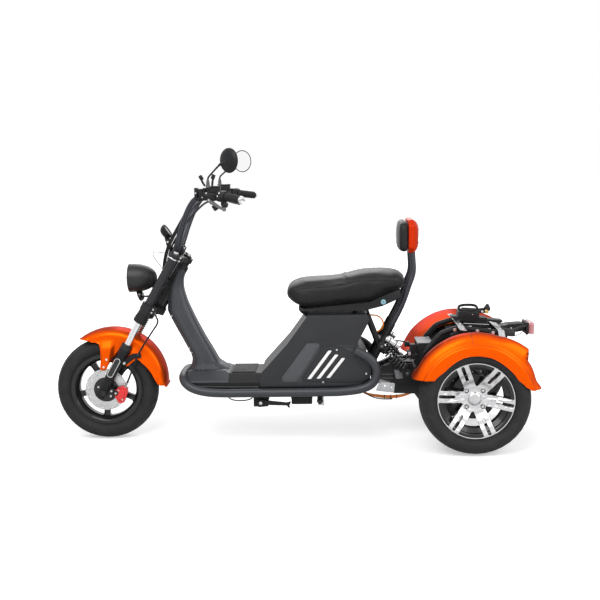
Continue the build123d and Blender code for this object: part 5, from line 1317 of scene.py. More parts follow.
def makeControls():
    # switch pods, master cylinders with their reservoirs, and the levers
    pods, levers, buttons, spots, boots = [], [], [], [], []
    for flip in (1, -1):
        start, end = aheadAll((bars["gripStart"], bars["gripEnd"]), flip)
        out = (end - start).normalized()
        pods.append(roundedBox("SwitchPod", (0.042, 0.046, 0.034),
                               standAt(start - out * 0.02 + Vector((0, 0, -0.003)), out), 0.011, 4))
        pods.append(lathe("ThrottleBody", [(0.0115, -0.004), (0.0225, -0.004), (0.0235, 0.0), (0.0235, 0.01),
                                           (0.0205, 0.013), (0.0115, 0.013)], standAt(start, out), steps=40,
                          closed=True))
        pods.append(roundedBox("Perch", (0.036, 0.03, 0.036), ahead(-0.541, 1.12, flip * 0.208),
                               0.008, 4))
        pods.append(roundedBox("Reservoir", (0.056, 0.034, 0.026), ahead(-0.549, 1.149, flip * 0.2),
                               0.005, 3, taper=-0.04))
        pods.append(roundedBox("ReservoirLid", (0.06, 0.038, 0.005), ahead(-0.549, 1.1645, flip * 0.2),
                               0.002))
        pods.append(roundedBox("LeverSwitch", (0.02, 0.024, 0.026),
                               Matrix.Translation(ahead(-0.553, 1.074, flip * 0.205))
                               @ Matrix.Rotation(0.6, 4, "Y"), 0.005))
        pods.append(roundedBox("HornSwitch", (0.024, 0.022, 0.02),
                               Matrix.Translation(ahead(-0.601, 1.083, flip * 0.262))
                               @ Matrix.Rotation(0.35, 4, "Y"), 0.005))
        pods.append(roundedBox("SwitchNeck", (0.016, 0.016, 0.034), ahead(-0.592, 1.099, flip * 0.25), 0.005))
        blade = taperTube("Lever", bars["lever"] if flip > 0 else swapSide(bars["lever"]), sides=18)
        levers.append(blade)
        for shift, up in ((-0.006, 0.012), (0.006, -0.002)):
            buttons.append(screwHead("Button", start - out * (0.02 + shift) + Vector((0.012, flip * 0.016, up)),
                                     Vector((0.45, flip * 0.85, 0.2)), 0.0035, 0.002, socket=False))
        for dx in (-0.02, 0.02):
            spots.append((ahead(-0.549 + dx, 1.1668, flip * 0.2), (0, 0, 1), 0.003))
        spots.append((ahead(-0.53, 1.108, flip * 0.226), (0, flip, 0), 0.0045))
        boots.append(lathe("Boot", [(0.0, 0.0), (0.0105, 0.0), (0.0105, 0.004), (0.0085, 0.008),
                                    (0.0078, 0.02), (0.0052, 0.033), (0.004, 0.035), (0.0, 0.035)],
                           Matrix.Translation(ahead(-0.527, 1.16, flip * 0.22)), steps=32))
    finishPiece(join("BarControls", pods), "darkPlastic", "steering", sharp=34)
    finishPiece(join("BrakeLevers", levers), "bracketGrey", "steering", replaces=("brake_levers",), sharp=50)
    finishPiece(join("SwitchButtons", buttons), "slotWhite", "steering")
    fasteners("ControlScrews", spots, "brushedSteel", "steering")
    finishPiece(join("MirrorBoots", boots), "bootGrey", "steering", sharp=40)


def makeMirrors():
    shells, glasses = [], []
    r = bars["mirrorRadius"]
    for flip in (1, -1):
        gaze = Vector(bars["gaze"])
        gaze.y *= flip
        centre = ahead(bars["mirror"][0], bars["mirror"][1], flip * bars["mirror"][2])
        place = standAt(centre, gaze)
        shells.append(lathe("Housing", [(0.0, -0.0165), (0.018, -0.016), (0.034, -0.014), (0.046, -0.01),
                                        (r - 0.0018, -0.005), (r, -0.002), (r, 0.0006), (r - 0.0012, 0.0014),
                                        (r - 0.003, 0.0006), (r - 0.0036, -0.0012), (0.0, -0.0012)], place,
                            steps=88))
        foot = ahead(-0.586, 1.256, flip * 0.28)
        shells.append(tube("Lug", [foot, foot.lerp(centre - gaze * 0.012, 0.3),
                                   centre - gaze * 0.0145 - Vector((0, 0, 0.005))], [0.0058, 0.0062, 0.0045],
                           20))
        shells.append(taperTube("MirrorStem", bars["stem"] if flip > 0 else swapSide(bars["stem"]), sides=16))
        glasses.append(lathe("Glass", [(0.0, 0.0008), (r * 0.5, 0.0004), (r - 0.004, -0.0006),
                                       (r - 0.004, -0.0011), (0.0, -0.0011)], place, steps=88))
    finishPiece(join("Mirrors", shells), "satinBlack", "steering", replaces=("mirrors",), sharp=42)
    finishPiece(join("MirrorGlass", glasses), "mirrorGlass", "steering", replaces=("mirror_glass",), sharp=30)


def makeDisplay():
    # a round meter tipped back towards the rider, with its bracket
    place = standAt(ahead(-0.297, 0.957), (-0.83, 0, 0.56))
    bowl = lathe("DisplayBowl", [(0.0, -0.017), (0.016, -0.0165), (0.024, -0.012), (0.031, -0.002),
                                 (0.0335, 0.006), (0.034, 0.011), (0.034, 0.0145), (0.0322, 0.016),
                                 (0.03, 0.015), (0.0295, 0.012), (0.0, 0.012)], place, steps=80)
    ear = flatPlate("DisplayEar", [roundCorners([ahead(x, z).xz for x, z in (
        (-0.29, 0.945), (-0.314, 0.932), (-0.318, 0.898), (-0.336, 0.88), (-0.322, 0.868),
        (-0.3, 0.892))], 0.005, 4)], 0.014, sidePlane, 0.0012)
    finishPiece(join("Display", [bowl, ear]), "satinBlack", "steering", replaces=("display",), sharp=40)
    face = lathe("DisplayFace", [(0.0, 0.0132), (0.018, 0.013), (0.0296, 0.0122), (0.0296, 0.0116),
                                 (0.0, 0.0116)], place, 64)
    finishPiece(face, "glossBlack", "steering", sharp=30)
    fasteners("DisplayBolts", [(ahead(-0.306, 0.914, 0.007), (0, 1, 0), 0.0055),
                               (ahead(-0.322, 0.882, 0.007), (0, 1, 0), 0.0045)], "brushedSteel", "steering")


holder = {
    "y": 0.15,
    # place, size and turn of each block
    "blocks": ((-0.4665, 1.136, 0.15, (0.013, 0.056, 0.048), 0.0),
               (-0.486, 1.136, 0.15, (0.018, 0.046, 0.038), 0.0),
               (-0.502, 1.136, 0.15, (0.01, 0.056, 0.046), 0.0),
               (-0.485, 1.113, 0.15, (0.046, 0.05, 0.008), 0.0),
               (-0.526, 1.152, 0.14, (0.05, 0.04, 0.018), 0.15),
               (-0.513, 1.125, 0.165, (0.034, 0.03, 0.034), 0.0)),
    "claws": (((-0.505, 1.166), (-0.494, 1.184), (-0.489, 1.2), 0.5),
              ((-0.536, 1.16), (-0.538, 1.182), (-0.542, 1.203), -0.35)),
}


def makePhoneHolder():
    y, tips = holder["y"], []
    parts = [roundedBox("HolderBlock", size, Matrix.Translation(ahead(*spot)) @ Matrix.Rotation(turn, 4, "Y"),
                        0.0035) for *spot, size, turn in holder["blocks"]]
    for root, knee, head, turn in holder["claws"]:
        parts.append(tube("ClawArm", [ahead(*root, y), ahead(*knee, y), ahead(*head, y)], 0.0048, 12))
        tips.append(roundedBox("ClawTip", (0.016, 0.02, 0.022),
                               Matrix.Translation(ahead(head[0], head[1] + 0.003, y))
                               @ Matrix.Rotation(turn, 4, "Y"), 0.004))
    finishPiece(join("PhoneHolder", parts + tips), "satinBlack", "steering", replaces=("phone_holder",),
                sharp=34)
    side = Vector((0, 1, 0))
    fasteners("HolderScrews", [(ahead(-0.4665, 1.137, y + 0.028), side, 0.0042),
                               (ahead(-0.495, 1.118, y + 0.025), side, 0.0038),
                               (ahead(-0.513, 1.136, 0.18), side, 0.0042)], "brushedSteel", "steering")


barCables = {
    "BrakeCableLeft": (0.004, ((-0.53, 1.112, 0.2), (-0.48, 1.128, 0.15), (-0.44, 1.108, 0.088),
                               (-0.376, 1.006, 0.066), (-0.318, 0.912, 0.056), (-0.294, 0.85, 0.04),
                               (-0.282, 0.78, 0.03), (-0.285, 0.73, 0.02))),
    "BrakeCableRight": (0.004, ((-0.535, 1.112, -0.2), (-0.48, 1.118, -0.12), (-0.43, 1.072, -0.01),
                                (-0.374, 0.992, 0.04), (-0.322, 0.905, 0.044), (-0.301, 0.85, 0.03),
                                (-0.29, 0.79, 0.016), (-0.29, 0.74, 0.0))),
    "ThrottleLoom": (0.0046, ((-0.585, 1.108, -0.236), (-0.49, 1.1, -0.11), (-0.445, 1.06, -0.02),
                              (-0.385, 0.985, 0.02), (-0.331, 0.905, 0.03), (-0.31, 0.85, 0.02),
                              (-0.3, 0.8, 0.01), (-0.3, 0.74, 0.006))),
    "SwitchLoom": (0.0044, ((-0.58, 1.108, 0.236), (-0.5, 1.11, 0.17), (-0.446, 1.098, 0.1),
                            (-0.384, 1.004, 0.075), (-0.325, 0.905, 0.062), (-0.303, 0.85, 0.045),
                            (-0.292, 0.79, 0.034), (-0.292, 0.74, 0.022))),
    "SensorLoop": (0.0015, ((-0.296, 0.866, 0.04), (-0.27, 0.871, 0.04), (-0.24, 0.872, 0.038),
                            (-0.244, 0.846, 0.034), (-0.266, 0.815, 0.026), (-0.28, 0.792, 0.016),
                            (-0.288, 0.77, 0.01))),
}


def makeBarCables():
    parts = [tube(name, cablePath(aheadAll(points)), radius, 12)
             for name, (radius, points) in barCables.items()]
    finishPiece(join("BarCables", parts), "blackCable", "steering", sharp=60)


makeRisers()
makeGrips()
makeControls()
makeMirrors()
makeDisplay()
makePhoneHolder()
makeBarCables()
print("bars done")

# neck cover, deck and the covers under the seat

neck = {
    # height, front and rear from the front axle, half width, corner radius
    "levels": ((0.324, -0.384, -0.574, 0.08, 0.03), (0.332, -0.388, -0.566, 0.079, 0.03),
               (0.346, -0.397, -0.548, 0.075, 0.03), (0.36, -0.403, -0.528, 0.072, 0.028),
               (0.384, -0.404, -0.514, 0.07, 0.027), (0.415, -0.391, -0.498, 0.067, 0.026),
               (0.465, -0.365, -0.47, 0.062, 0.024), (0.51, -0.341, -0.447, 0.058, 0.022),
               (0.551, -0.32, -0.427, 0.054, 0.021), (0.6, -0.298, -0.405, 0.049, 0.02),
               (0.642, -0.301, -0.388, 0.046, 0.019), (0.68, -0.306, -0.377, 0.042, 0.018),
               (0.707, -0.309, -0.372, 0.039, 0.017), (0.735, -0.322, -0.372, 0.037, 0.016),
               (0.76, -0.335, -0.378, 0.0355, 0.015), (0.776, -0.343, -0.383, 0.034, 0.014),
               (0.788, -0.35, -0.384, 0.032, 0.012)),
    "ridge": 0.4,
}


def neckRing(z, front, rear, half, corner):
    # a level outline: flat front strip, a raised line down each flank, rounded back
    ring, depth = [], front - rear
    for side in (1, -1):
        line = [(front, 0.0), (front, half * 0.5), (front - 0.006, half * 0.62),
                (front - depth * 0.16, half * 0.9), (front - depth * (neck["ridge"] - 0.1), half * 0.985),
                (front - depth * neck["ridge"], half * 1.0),
                (front - depth * (neck["ridge"] + 0.05), half * 0.955), (front - depth * 0.74, half * 0.93),
                (rear + corner * 0.9, half * 0.86), (rear + corner * 0.25, half * 0.66),
                (rear, half * 0.34), (rear, 0.0)]
        smooth = splineThrough([Vector(p) for p in line], 4)
        ring += [(x, side * y) for x, y in (smooth if side > 0 else smooth[::-1][1:-1])]
    return [Vector((frontAxle.x + x, y, z)) for x, y in ring]


def makeNeck():
    levels = [Vector(level) for level in neck["levels"]]
    dense = splineThrough(levels, 4)
    rings = [neckRing(*level) for level in dense]
    made = loft("NeckCover", rings, capped=False)
    finishPiece(made, "bodyGrey", replaces=("neck_cover",), wall=0.0035, sharp=48)
    # collar under the yoke
    collar = lathe("NeckCollar", [(0.0225, 0.5), (0.0285, 0.5), (0.029, 0.52), (0.0285, 0.676),
                                  (0.0262, 0.68), (0.0225, 0.68)], stemPlace(0, 0, 0), steps=56, closed=True)
    finishPiece(collar, "satinBlack")
    # small screws along the front edge of both flanks
    spots = []
    for z in (0.404, 0.431, 0.578):
        z0, front, rear, half = min(dense, key=lambda level: abs(level[0] - z))[:4]
        for side in (1, -1):
            spots.append((Vector((frontAxle.x + front - (front - rear) * 0.1, side * half * 0.8, z0)),
                          (0.6, side * 0.8, 0), 0.0042))
    fasteners("NeckScrews", spots, "brushedSteel")
    # seam along each flank
    for side, name in ((1, "NeckSeamLeft"), (-1, "NeckSeamRight")):
        line = [Vector((frontAxle.x + front - (front - rear) * 0.205, side * half * 0.945, z))
                for z, front, rear, half, *rest in dense[8:-14]]
        finishPiece(tube(name, line, 0.0012, sides=8), "satinBlack", sharp=60)


deck = {
    # place from the front axle, top height, half width of the top, shoulder height and half width
    "foot": ((-0.38, 0.306, 0.04, 0.286, 0.108), (-0.387, 0.3225, 0.072, 0.288, 0.13),
             (-0.4, 0.3285, 0.08, 0.289, 0.141), (-0.42, 0.3296, 0.084, 0.29, 0.1465),
             (-0.55, 0.3296, 0.084, 0.29, 0.148), (-0.564, 0.326, 0.088, 0.29, 0.148),
             (-0.58, 0.3195, 0.097, 0.2895, 0.148)),
    "floor": ((-0.383, 0.3, 0.044, 0.28, 0.11), (-0.392, 0.319, 0.074, 0.284, 0.132),
              (-0.42, 0.326, 0.08, 0.286, 0.145), (-0.55, 0.326, 0.082, 0.286, 0.1465),
              (-0.576, 0.318, 0.096, 0.288, 0.147), (-0.86, 0.318, 0.098, 0.288, 0.147),
              (-1.22, 0.318, 0.098, 0.288, 0.147)),
    "low": 0.246, "rim": 0.007, "fade": (0.01, 0.018),
}


def deckRing(low, x, top, topHalf, shoulder, half):
    # a raised middle whose sides slope down to a shoulder above the bumper tube
    line = [(-half, low), (-half, shoulder), (-topHalf, top), (topHalf, top), (half, shoulder), (half, low)]
    near, high = deck["fade"]
    return [ahead(x, p.y, p.x) for p in roundCorners(line, (0.002, near, high, high, near, 0.002), 5)]


def makeDeck():
    floorRings = [deckRing(deck["low"], *station) for station in deck["floor"]]
    finishPiece(loft("DeckPan", floorRings), "darkPlastic", replaces=("floor_pan",), sharp=40)
    stations = splineThrough([Vector(station) for station in deck["foot"]], 4)
    footRings = [deckRing(station[3] - deck["rim"], *station) for station in stations]
    finishPiece(loft("DeckFoot", footRings), "bodyGrey", sharp=40)
    # ridges on the nose and ribs on the mat
    ridges = []
    for x in (-0.424, -0.446, -0.468):
        for side in (1, -1):
            place = Matrix.Translation(ahead(x - 0.004, 0.33, side * 0.079))
            ridges.append(roundedBox("Ridge", (0.01, 0.018, 0.0026), place, 0.001))
    finishPiece(join("DeckRidges", ridges), "deckRubber")
    ribs = [roundedBox("MatBase", (0.11, 0.184, 0.004), ahead(-0.645, 0.3196), 0.0012)]
    for i in range(9):
        ribs.append(roundedBox("MatRib", (0.0055, 0.176, 0.003), ahead(-0.598 - 0.0117 * i, 0.3218),
                               0.0011))
    finishPiece(join("DeckMat", ribs), "deckRubber", replaces=("foot_mat",))
    # ledge where the shoulder meets the bumper tube
    for side, name in ((1, "DeckLedgeLeft"), (-1, "DeckLedgeRight")):
        line = aheadAll(((-0.402, 0.27, 0.137), (-0.43, 0.269, 0.1475), (-0.52, 0.266, 0.1505),
                         (-0.64, 0.264, 0.151), (-0.716, 0.264, 0.151)), side)
        finishPiece(tube(name, cablePath(line), 0.0044, sides=12), "coverGrey", sharp=60)


cover = {
    "outer": ((0.937, 0.262), (0.937, 0.32), (0.811, 0.458), (0.716, 0.586), (0.452, 0.586), (0.442, 0.56),
              (0.5, 0.452), (0.474, 0.428), (0.452, 0.395), (0.44, 0.33), (0.452, 0.292), (0.5, 0.262)),
    "panel": ((0.664, 0.452), (0.668, 0.424), (0.752, 0.303), (0.742, 0.284), (0.486, 0.276), (0.452, 0.29),
              (0.434, 0.322), (0.44, 0.356), (0.474, 0.39), (0.56, 0.44), (0.6, 0.452)),
    "band": ((0.664, 0.45), (0.672, 0.462), (0.722, 0.462), (0.842, 0.302), (0.83, 0.286), (0.776, 0.286),
             (0.762, 0.298)),
    "slots": (((0.618, 0.427), (0.715, 0.298)), ((0.589, 0.408), (0.674, 0.299)),
              ((0.559, 0.392), (0.63, 0.302))),
    "slotHalf": 0.0088, "face": 0.1535,
}


def rearOutline(points, radius, steps=5):
    return roundCorners([behind(x, z).xz for x, z in points], radius, steps)


def slotOutline(top, bottom, half):
    return rearOutline(((top[0] - half, top[1]), (top[0] + half, top[1]), (bottom[0] + half, bottom[1]),
                        (bottom[0] - half, bottom[1])), (0.005, 0.005, 0.002, 0.002))


def makeCover(side, node, name):
    face = cover["face"]
    outer = rearOutline(cover["outer"], (0.01, 0.03, 0.02, 0.02, 0.02, 0.01, 0.06, 0.04, 0.05, 0.06, 0.03,
                                         0.04), 8)
    panel = rearOutline(cover["panel"], (0.02, 0.02, 0.03, 0.02, 0.05, 0.03, 0.04, 0.04, 0.05, 0.04, 0.02), 6)
    band = rearOutline(cover["band"], (0.01, 0.014, 0.014, 0.02, 0.012, 0.012, 0.04), 5)
    slots = [slotOutline(top, bottom, cover["slotHalf"]) for top, bottom in cover["slots"]]
    frameRing = flatPlate(name + "Face", [outer, panel, band], 0.0045, sideAt(side * (face - 0.00225)),
                          0.0015)
    middle = Vector((0, 0))
    for p in outer:
        middle += Vector(p) / len(outer)
    inner = [middle + (Vector(p) - middle) * 0.992 for p in outer]
    panelPlate = flatPlate(name + "Panel", [panel, *slots], 0.0025, sideAt(side * (face - 0.004)), 0.0006)
    backing = flatPlate(name + "Backing", [inner], 0.002, sideAt(side * (face - 0.0072)))
    shell = []
    for y, share in ((0.0008, 0.988), (0.06, 0.994), (face - 0.01, 1.0), (face - 0.003, 0.998)):
        ring = [middle + (Vector(p) - middle) * share for p in outer]
        shell.append([Vector((p.x, side * y, p.y)) for p in ring])
    flank = loft(name + "Flank", shell, capped=False)
    finishPiece(join(name, [frameRing, panelPlate, backing, flank]), "coverGrey", replaces=(node,), sharp=36)
    bandPlate = flatPlate(name + "Band", [band], 0.0025, sideAt(side * (face - 0.003)), 0.0006)
    finishPiece(bandPlate, "insetGrey", sharp=36)
    inserts = [flatPlate(name + "Insert", [slotOutline(top, bottom, cover["slotHalf"] - 0.0004)], 0.003,
                         sideAt(side * (face - 0.0044)), 0.0008) for top, bottom in cover["slots"]]
    finishPiece(join(name + "Inserts", inserts), "slotWhite",
                replaces=("cover_inserts",) if side > 0 else ())
    spots = [(behind(x, z, side * (face - 0.003)), (0, side, 0), 0.0048)
             for x, z in ((0.589, 0.43), (0.459, 0.32), (0.652, 0.283))]
    fasteners(name + "Screws", spots, "brushedSteel")


makeNeck()
makeDeck()
makeCover(1, "side_cover_left", "SideCoverLeft")
makeCover(-1, "side_cover_right", "SideCoverRight")
print("body covers done")

# seat, backrest pad and the parts that carry them

cushionSkin = {"quality": 5, "mass": 0.3, "tension_stiffness": 18, "compression_stiffness": 18,
               "shear_stiffness": 8, "bending_stiffness": 2.5, "use_pressure": True}
cushionLimit = 0.007        # how far the skin may bulge


def smoothCushion(name, build, voxel, body, replaces, pressure=4.0, frames=18):
    # a sewn cushion: closed skin, remeshed evenly, blown out a little as cloth and rounded off
    obj = build(name)
    mesh = obj.modifiers.new("Even", "REMESH")
    mesh.mode = "VOXEL"
    mesh.voxel_size = voxel
    settle(obj)
    cloth = obj.modifiers.new("Skin", "CLOTH")
    for setting, value in cushionSkin.items():
        setattr(cloth.settings, setting, value)
    cloth.settings.uniform_pressure_force = pressure
    cloth.settings.effector_weights.gravity = 0
    cloth.point_cache.frame_start = 1
    cloth.point_cache.frame_end = frames
    before = [v.co.copy() for v in obj.data.vertices]
    for step in range(1, frames + 1):
        scene.frame_set(step)
        bpy.context.view_layer.update()
    graph = bpy.context.evaluated_depsgraph_get()
    blown = bpy.data.meshes.new_from_object(obj.evaluated_get(graph))
    obj.modifiers.clear()
    for vertex, start, end in zip(obj.data.vertices, before, blown.vertices):
        move = end.co - start
        if move.length > cushionLimit:
            move = move.normalized() * cushionLimit
        vertex.co = start + move
    scene.frame_set(1)
    relax = obj.modifiers.new("Relax", "SMOOTH")
    relax.factor = 0.5
    relax.iterations = 8
    settle(obj)
    finishPiece(obj, "seatLeather", body, replaces=replaces, subdiv=1, sharp=180)
    return obj


seatShape = {
    # station along the seat from the rear axle, top height, low height, half width, crown
    "stations": ((0.812, 0.7, 0.664, 0.09, 0.004), (0.8, 0.716, 0.65, 0.108, 0.008),
                 (0.776, 0.727, 0.632, 0.124, 0.011), (0.735, 0.733, 0.618, 0.134, 0.013),
                 (0.68, 0.737, 0.621, 0.14, 0.014), (0.62, 0.739, 0.626, 0.142, 0.015),
                 (0.57, 0.744, 0.631, 0.143, 0.015), (0.53, 0.752, 0.634, 0.144, 0.014),
                 (0.49, 0.762, 0.638, 0.144, 0.012), (0.45, 0.768, 0.642, 0.143, 0.012),
                 (0.4, 0.77, 0.656, 0.141, 0.012), (0.35, 0.771, 0.676, 0.136, 0.012),
                 (0.316, 0.768, 0.688, 0.126, 0.01), (0.292, 0.759, 0.696, 0.108, 0.008),
                 (0.277, 0.742, 0.706, 0.084, 0.005)),
    # height of the welt along the flanks, and where the step between the two levels lies
    "welt": ((0.316, 0.733), (0.36, 0.738), (0.42, 0.738), (0.50, 0.734), (0.56, 0.722), (0.62, 0.712),
             (0.72, 0.706), (0.80, 0.694)),
    "step": 0.556,
}


def seatSkin(name):
    rings = []
    for x, top, low, half, crown in splineThrough([Vector(s) for s in seatShape["stations"]], 3):
        ring, height = [], top - low
        for i in range(40):
            turn = 2 * pi * i / 40
            across, up = cos(turn), sin(turn)
            y = half * abs(across) ** 0.42 * (1 if across > 0 else -1)
            z = (top + low) / 2 + height / 2 * abs(up) ** 0.55 * (1 if up > 0 else -1)
            if up > 0:
                z -= crown * (y / half) ** 2 * up
            else:
                y *= 1 - 0.07 * abs(up)
            ring.append(behind(x, z, y))
        rings.append(ring)
    return loft(name, rings)


def padSkin(name):
    rings = []
    for x, share, tall in ((0.2665, 0.97, 0.96), (0.275, 1.0, 1.0), (0.29, 0.985, 0.975), (0.298, 0.93, 0.9),
                           (0.3015, 0.8, 0.74)):
        ring = []
        for i in range(44):
            turn = 2 * pi * i / 44
            across, up = cos(turn), sin(turn)
            y = 0.1115 * share * abs(across) ** 0.35 * (1 if across > 0 else -1)
            z = 0.926 + 0.072 * tall * abs(up) ** 0.38 * (1 if up > 0 else -1)
            z -= 0.006 * (y / 0.11) ** 2 * (up > 0)
            ring.append(behind(x, z, y))
        rings.append(ring)
    return loft(name, rings)


seat = smoothCushion("SeatCushion", seatSkin, 0.0055, "seat_lid", ("seat",))
pad = smoothCushion("BackrestPad", padSkin, 0.005, "frame", ("backrest_pad",))


def surfaceLine(obj, points, push, lift=0.0006):
    # drops a line of points onto a finished skin
    graph = bpy.context.evaluated_depsgraph_get()
    skin = obj.evaluated_get(graph)
    made = []
    for point in points:
        hit, spot, normal = skin.ray_cast(point, push)[:3]
        if hit:
            made.append(spot + normal * lift)
    return made


def makeSeams():
    # welt round the top of the seat, and the seam across the step between its two levels
    seams, shape = [], seatShape
    for side in (1, -1):
        line = [behind(x / 1000, along(shape["welt"], x / 1000), side * 0.3) for x in range(316, 800, 12)]
        seams.append(surfaceLine(seat, line, Vector((0, -side, 0))))
    step = [behind(shape["step"] - 2 * y * y, 0.9, y) for y in [i / 100 for i in range(-13, 14)]]
    seams.append(surfaceLine(seat, step, Vector((0, 0, -1))))
    welts = [tube("SeatWelt", line, 0.0017, sides=8) for line in seams if len(line) > 3]
    finishPiece(join("SeatWelts", welts), "seatLeather", "seat_lid", sharp=60)
    outline = roundCorners([(-0.94, -0.86), (0.94, -0.86), (0.94, 0.86), (-0.94, 0.86)], 0.3, 6)
    front = surfaceLine(pad, [behind(0.4, 0.926 + 0.066 * p.y, 0.102 * p.x) for p in outline],
                        Vector((-1, 0, 0)))
    if len(front) > 4:
        finishPiece(tube("BackrestWelt", front + front[:1], 0.0013, sides=8), "seatLeather", sharp=60)


makeSeams()


def makeShell():
    # the painted back: eight flats round a raised middle
    rings = []
    for x, wide, tall in ((0.2635, 0.1135, 0.0735), (0.256, 0.115, 0.075), (0.244, 0.115, 0.075),
                          (0.229, 0.103, 0.064), (0.219, 0.086, 0.048)):
        corner = 0.026 if x > 0.24 else 0.018
        outline = [(-wide + corner, -tall), (wide - corner, -tall), (wide, -tall + corner),
                   (wide, tall - corner), (wide - corner, tall), (-wide + corner, tall),
                   (-wide, tall - corner), (-wide, -tall + corner)]
        outline = [(y * (1 - 0.06 * (z < 0)), z) for y, z in outline]
        rings.append([behind(x, 0.926 + z, y) for y, z in outline])
    # the shell takes the darker copy of the orange paint, as painted shade
    finishPiece(loft("BackrestShell", rings), "orangePaintedShade", replaces=("backrest_shell",), bevel=0.004,
                steps=3)
    rear = Vector((-1, 0, 0))
    spots = [(behind(0.2192, 0.926 + z, y), rear, 0.0055) for y in (-0.055, 0.055) for z in (-0.03, 0.03)]
    fasteners("ShellBolts", spots, "brushedSteel")


def makePan():
    # pan under the seat, with its rim, hinge leaves and lock
    outline = [(0.756, 0.6045), (0.74, 0.6015), (0.457, 0.6015), (0.38, 0.621), (0.324, 0.646), (0.304, 0.66),
               (0.303, 0.694), (0.355, 0.676), (0.436, 0.6395), (0.74, 0.6115), (0.757, 0.62)]
    rings = []
    for y, share in ((-0.132, 0.965), (-0.13, 0.99), (-0.124, 1.0), (0.124, 1.0), (0.13, 0.99),
                     (0.132, 0.965)):
        middle = Vector((0.52, 0.64))
        rings.append([behind(*(middle + (Vector(p) - middle) * share), y) for p in outline])
    finishPiece(loft("SeatPan", rings), "darkPlastic", "seat_lid", replaces=("seat_pan",), sharp=34)
    place = standAt(behind(0.379, 0.64, 0.1275), (0, 1, 0))
    cap = lathe("SeatLock", [(0.0, 0.0), (0.012, 0.0), (0.012, 0.0055), (0.0112, 0.0072), (0.008, 0.0078),
                             (0.0076, 0.0066), (0.003, 0.0066), (0.0026, 0.0052), (0.0, 0.0052)], place,
                steps=48)
    finishPiece(cap, "lockBlue", "seat_lid", replaces=("seat_lock",))
    key = roundedBox("LockSlot", (0.0016, 0.008, 0.0012), place @ Matrix.Translation((0, 0, 0.0068)), 0.0004)
    finishPiece(key, "satinBlack", "seat_lid")
    leaves = [roundedBox("HingeLeaf", (0.05, 0.022, 0.003), behind(0.722, 0.6, side * 0.025), 0.001)
              for side in (1, -1)]
    knuckles = [lathe("Knuckle", [(0.0055, -0.008), (0.0092, -0.008), (0.0092, 0.008), (0.0055, 0.008)],
                      Matrix.Translation(behind(0.745, 0.594, side * 0.025)) @ frameFor(Vector((0, 1, 0))),
                      steps=32, closed=True) for side in (1, -1)]
    finishPiece(join("SeatHinge", leaves + knuckles), "satinBlack", "seat_lid")


makeShell()
makePan()
print("seat and backrest done")

# shocks, swing frame details, motor, rack, tail lamp, backrest bars, stand and floor gear

shock = {"low": (0.274, 0.318), "high": (0.388, 0.442), "side": 0.128, "coil": 0.0198, "wire": 0.0036,
         "turns": 7, "bottleFrom": (0.372, 0.478), "bottleTo": (0.308, 0.436), "bottle": 0.0138}


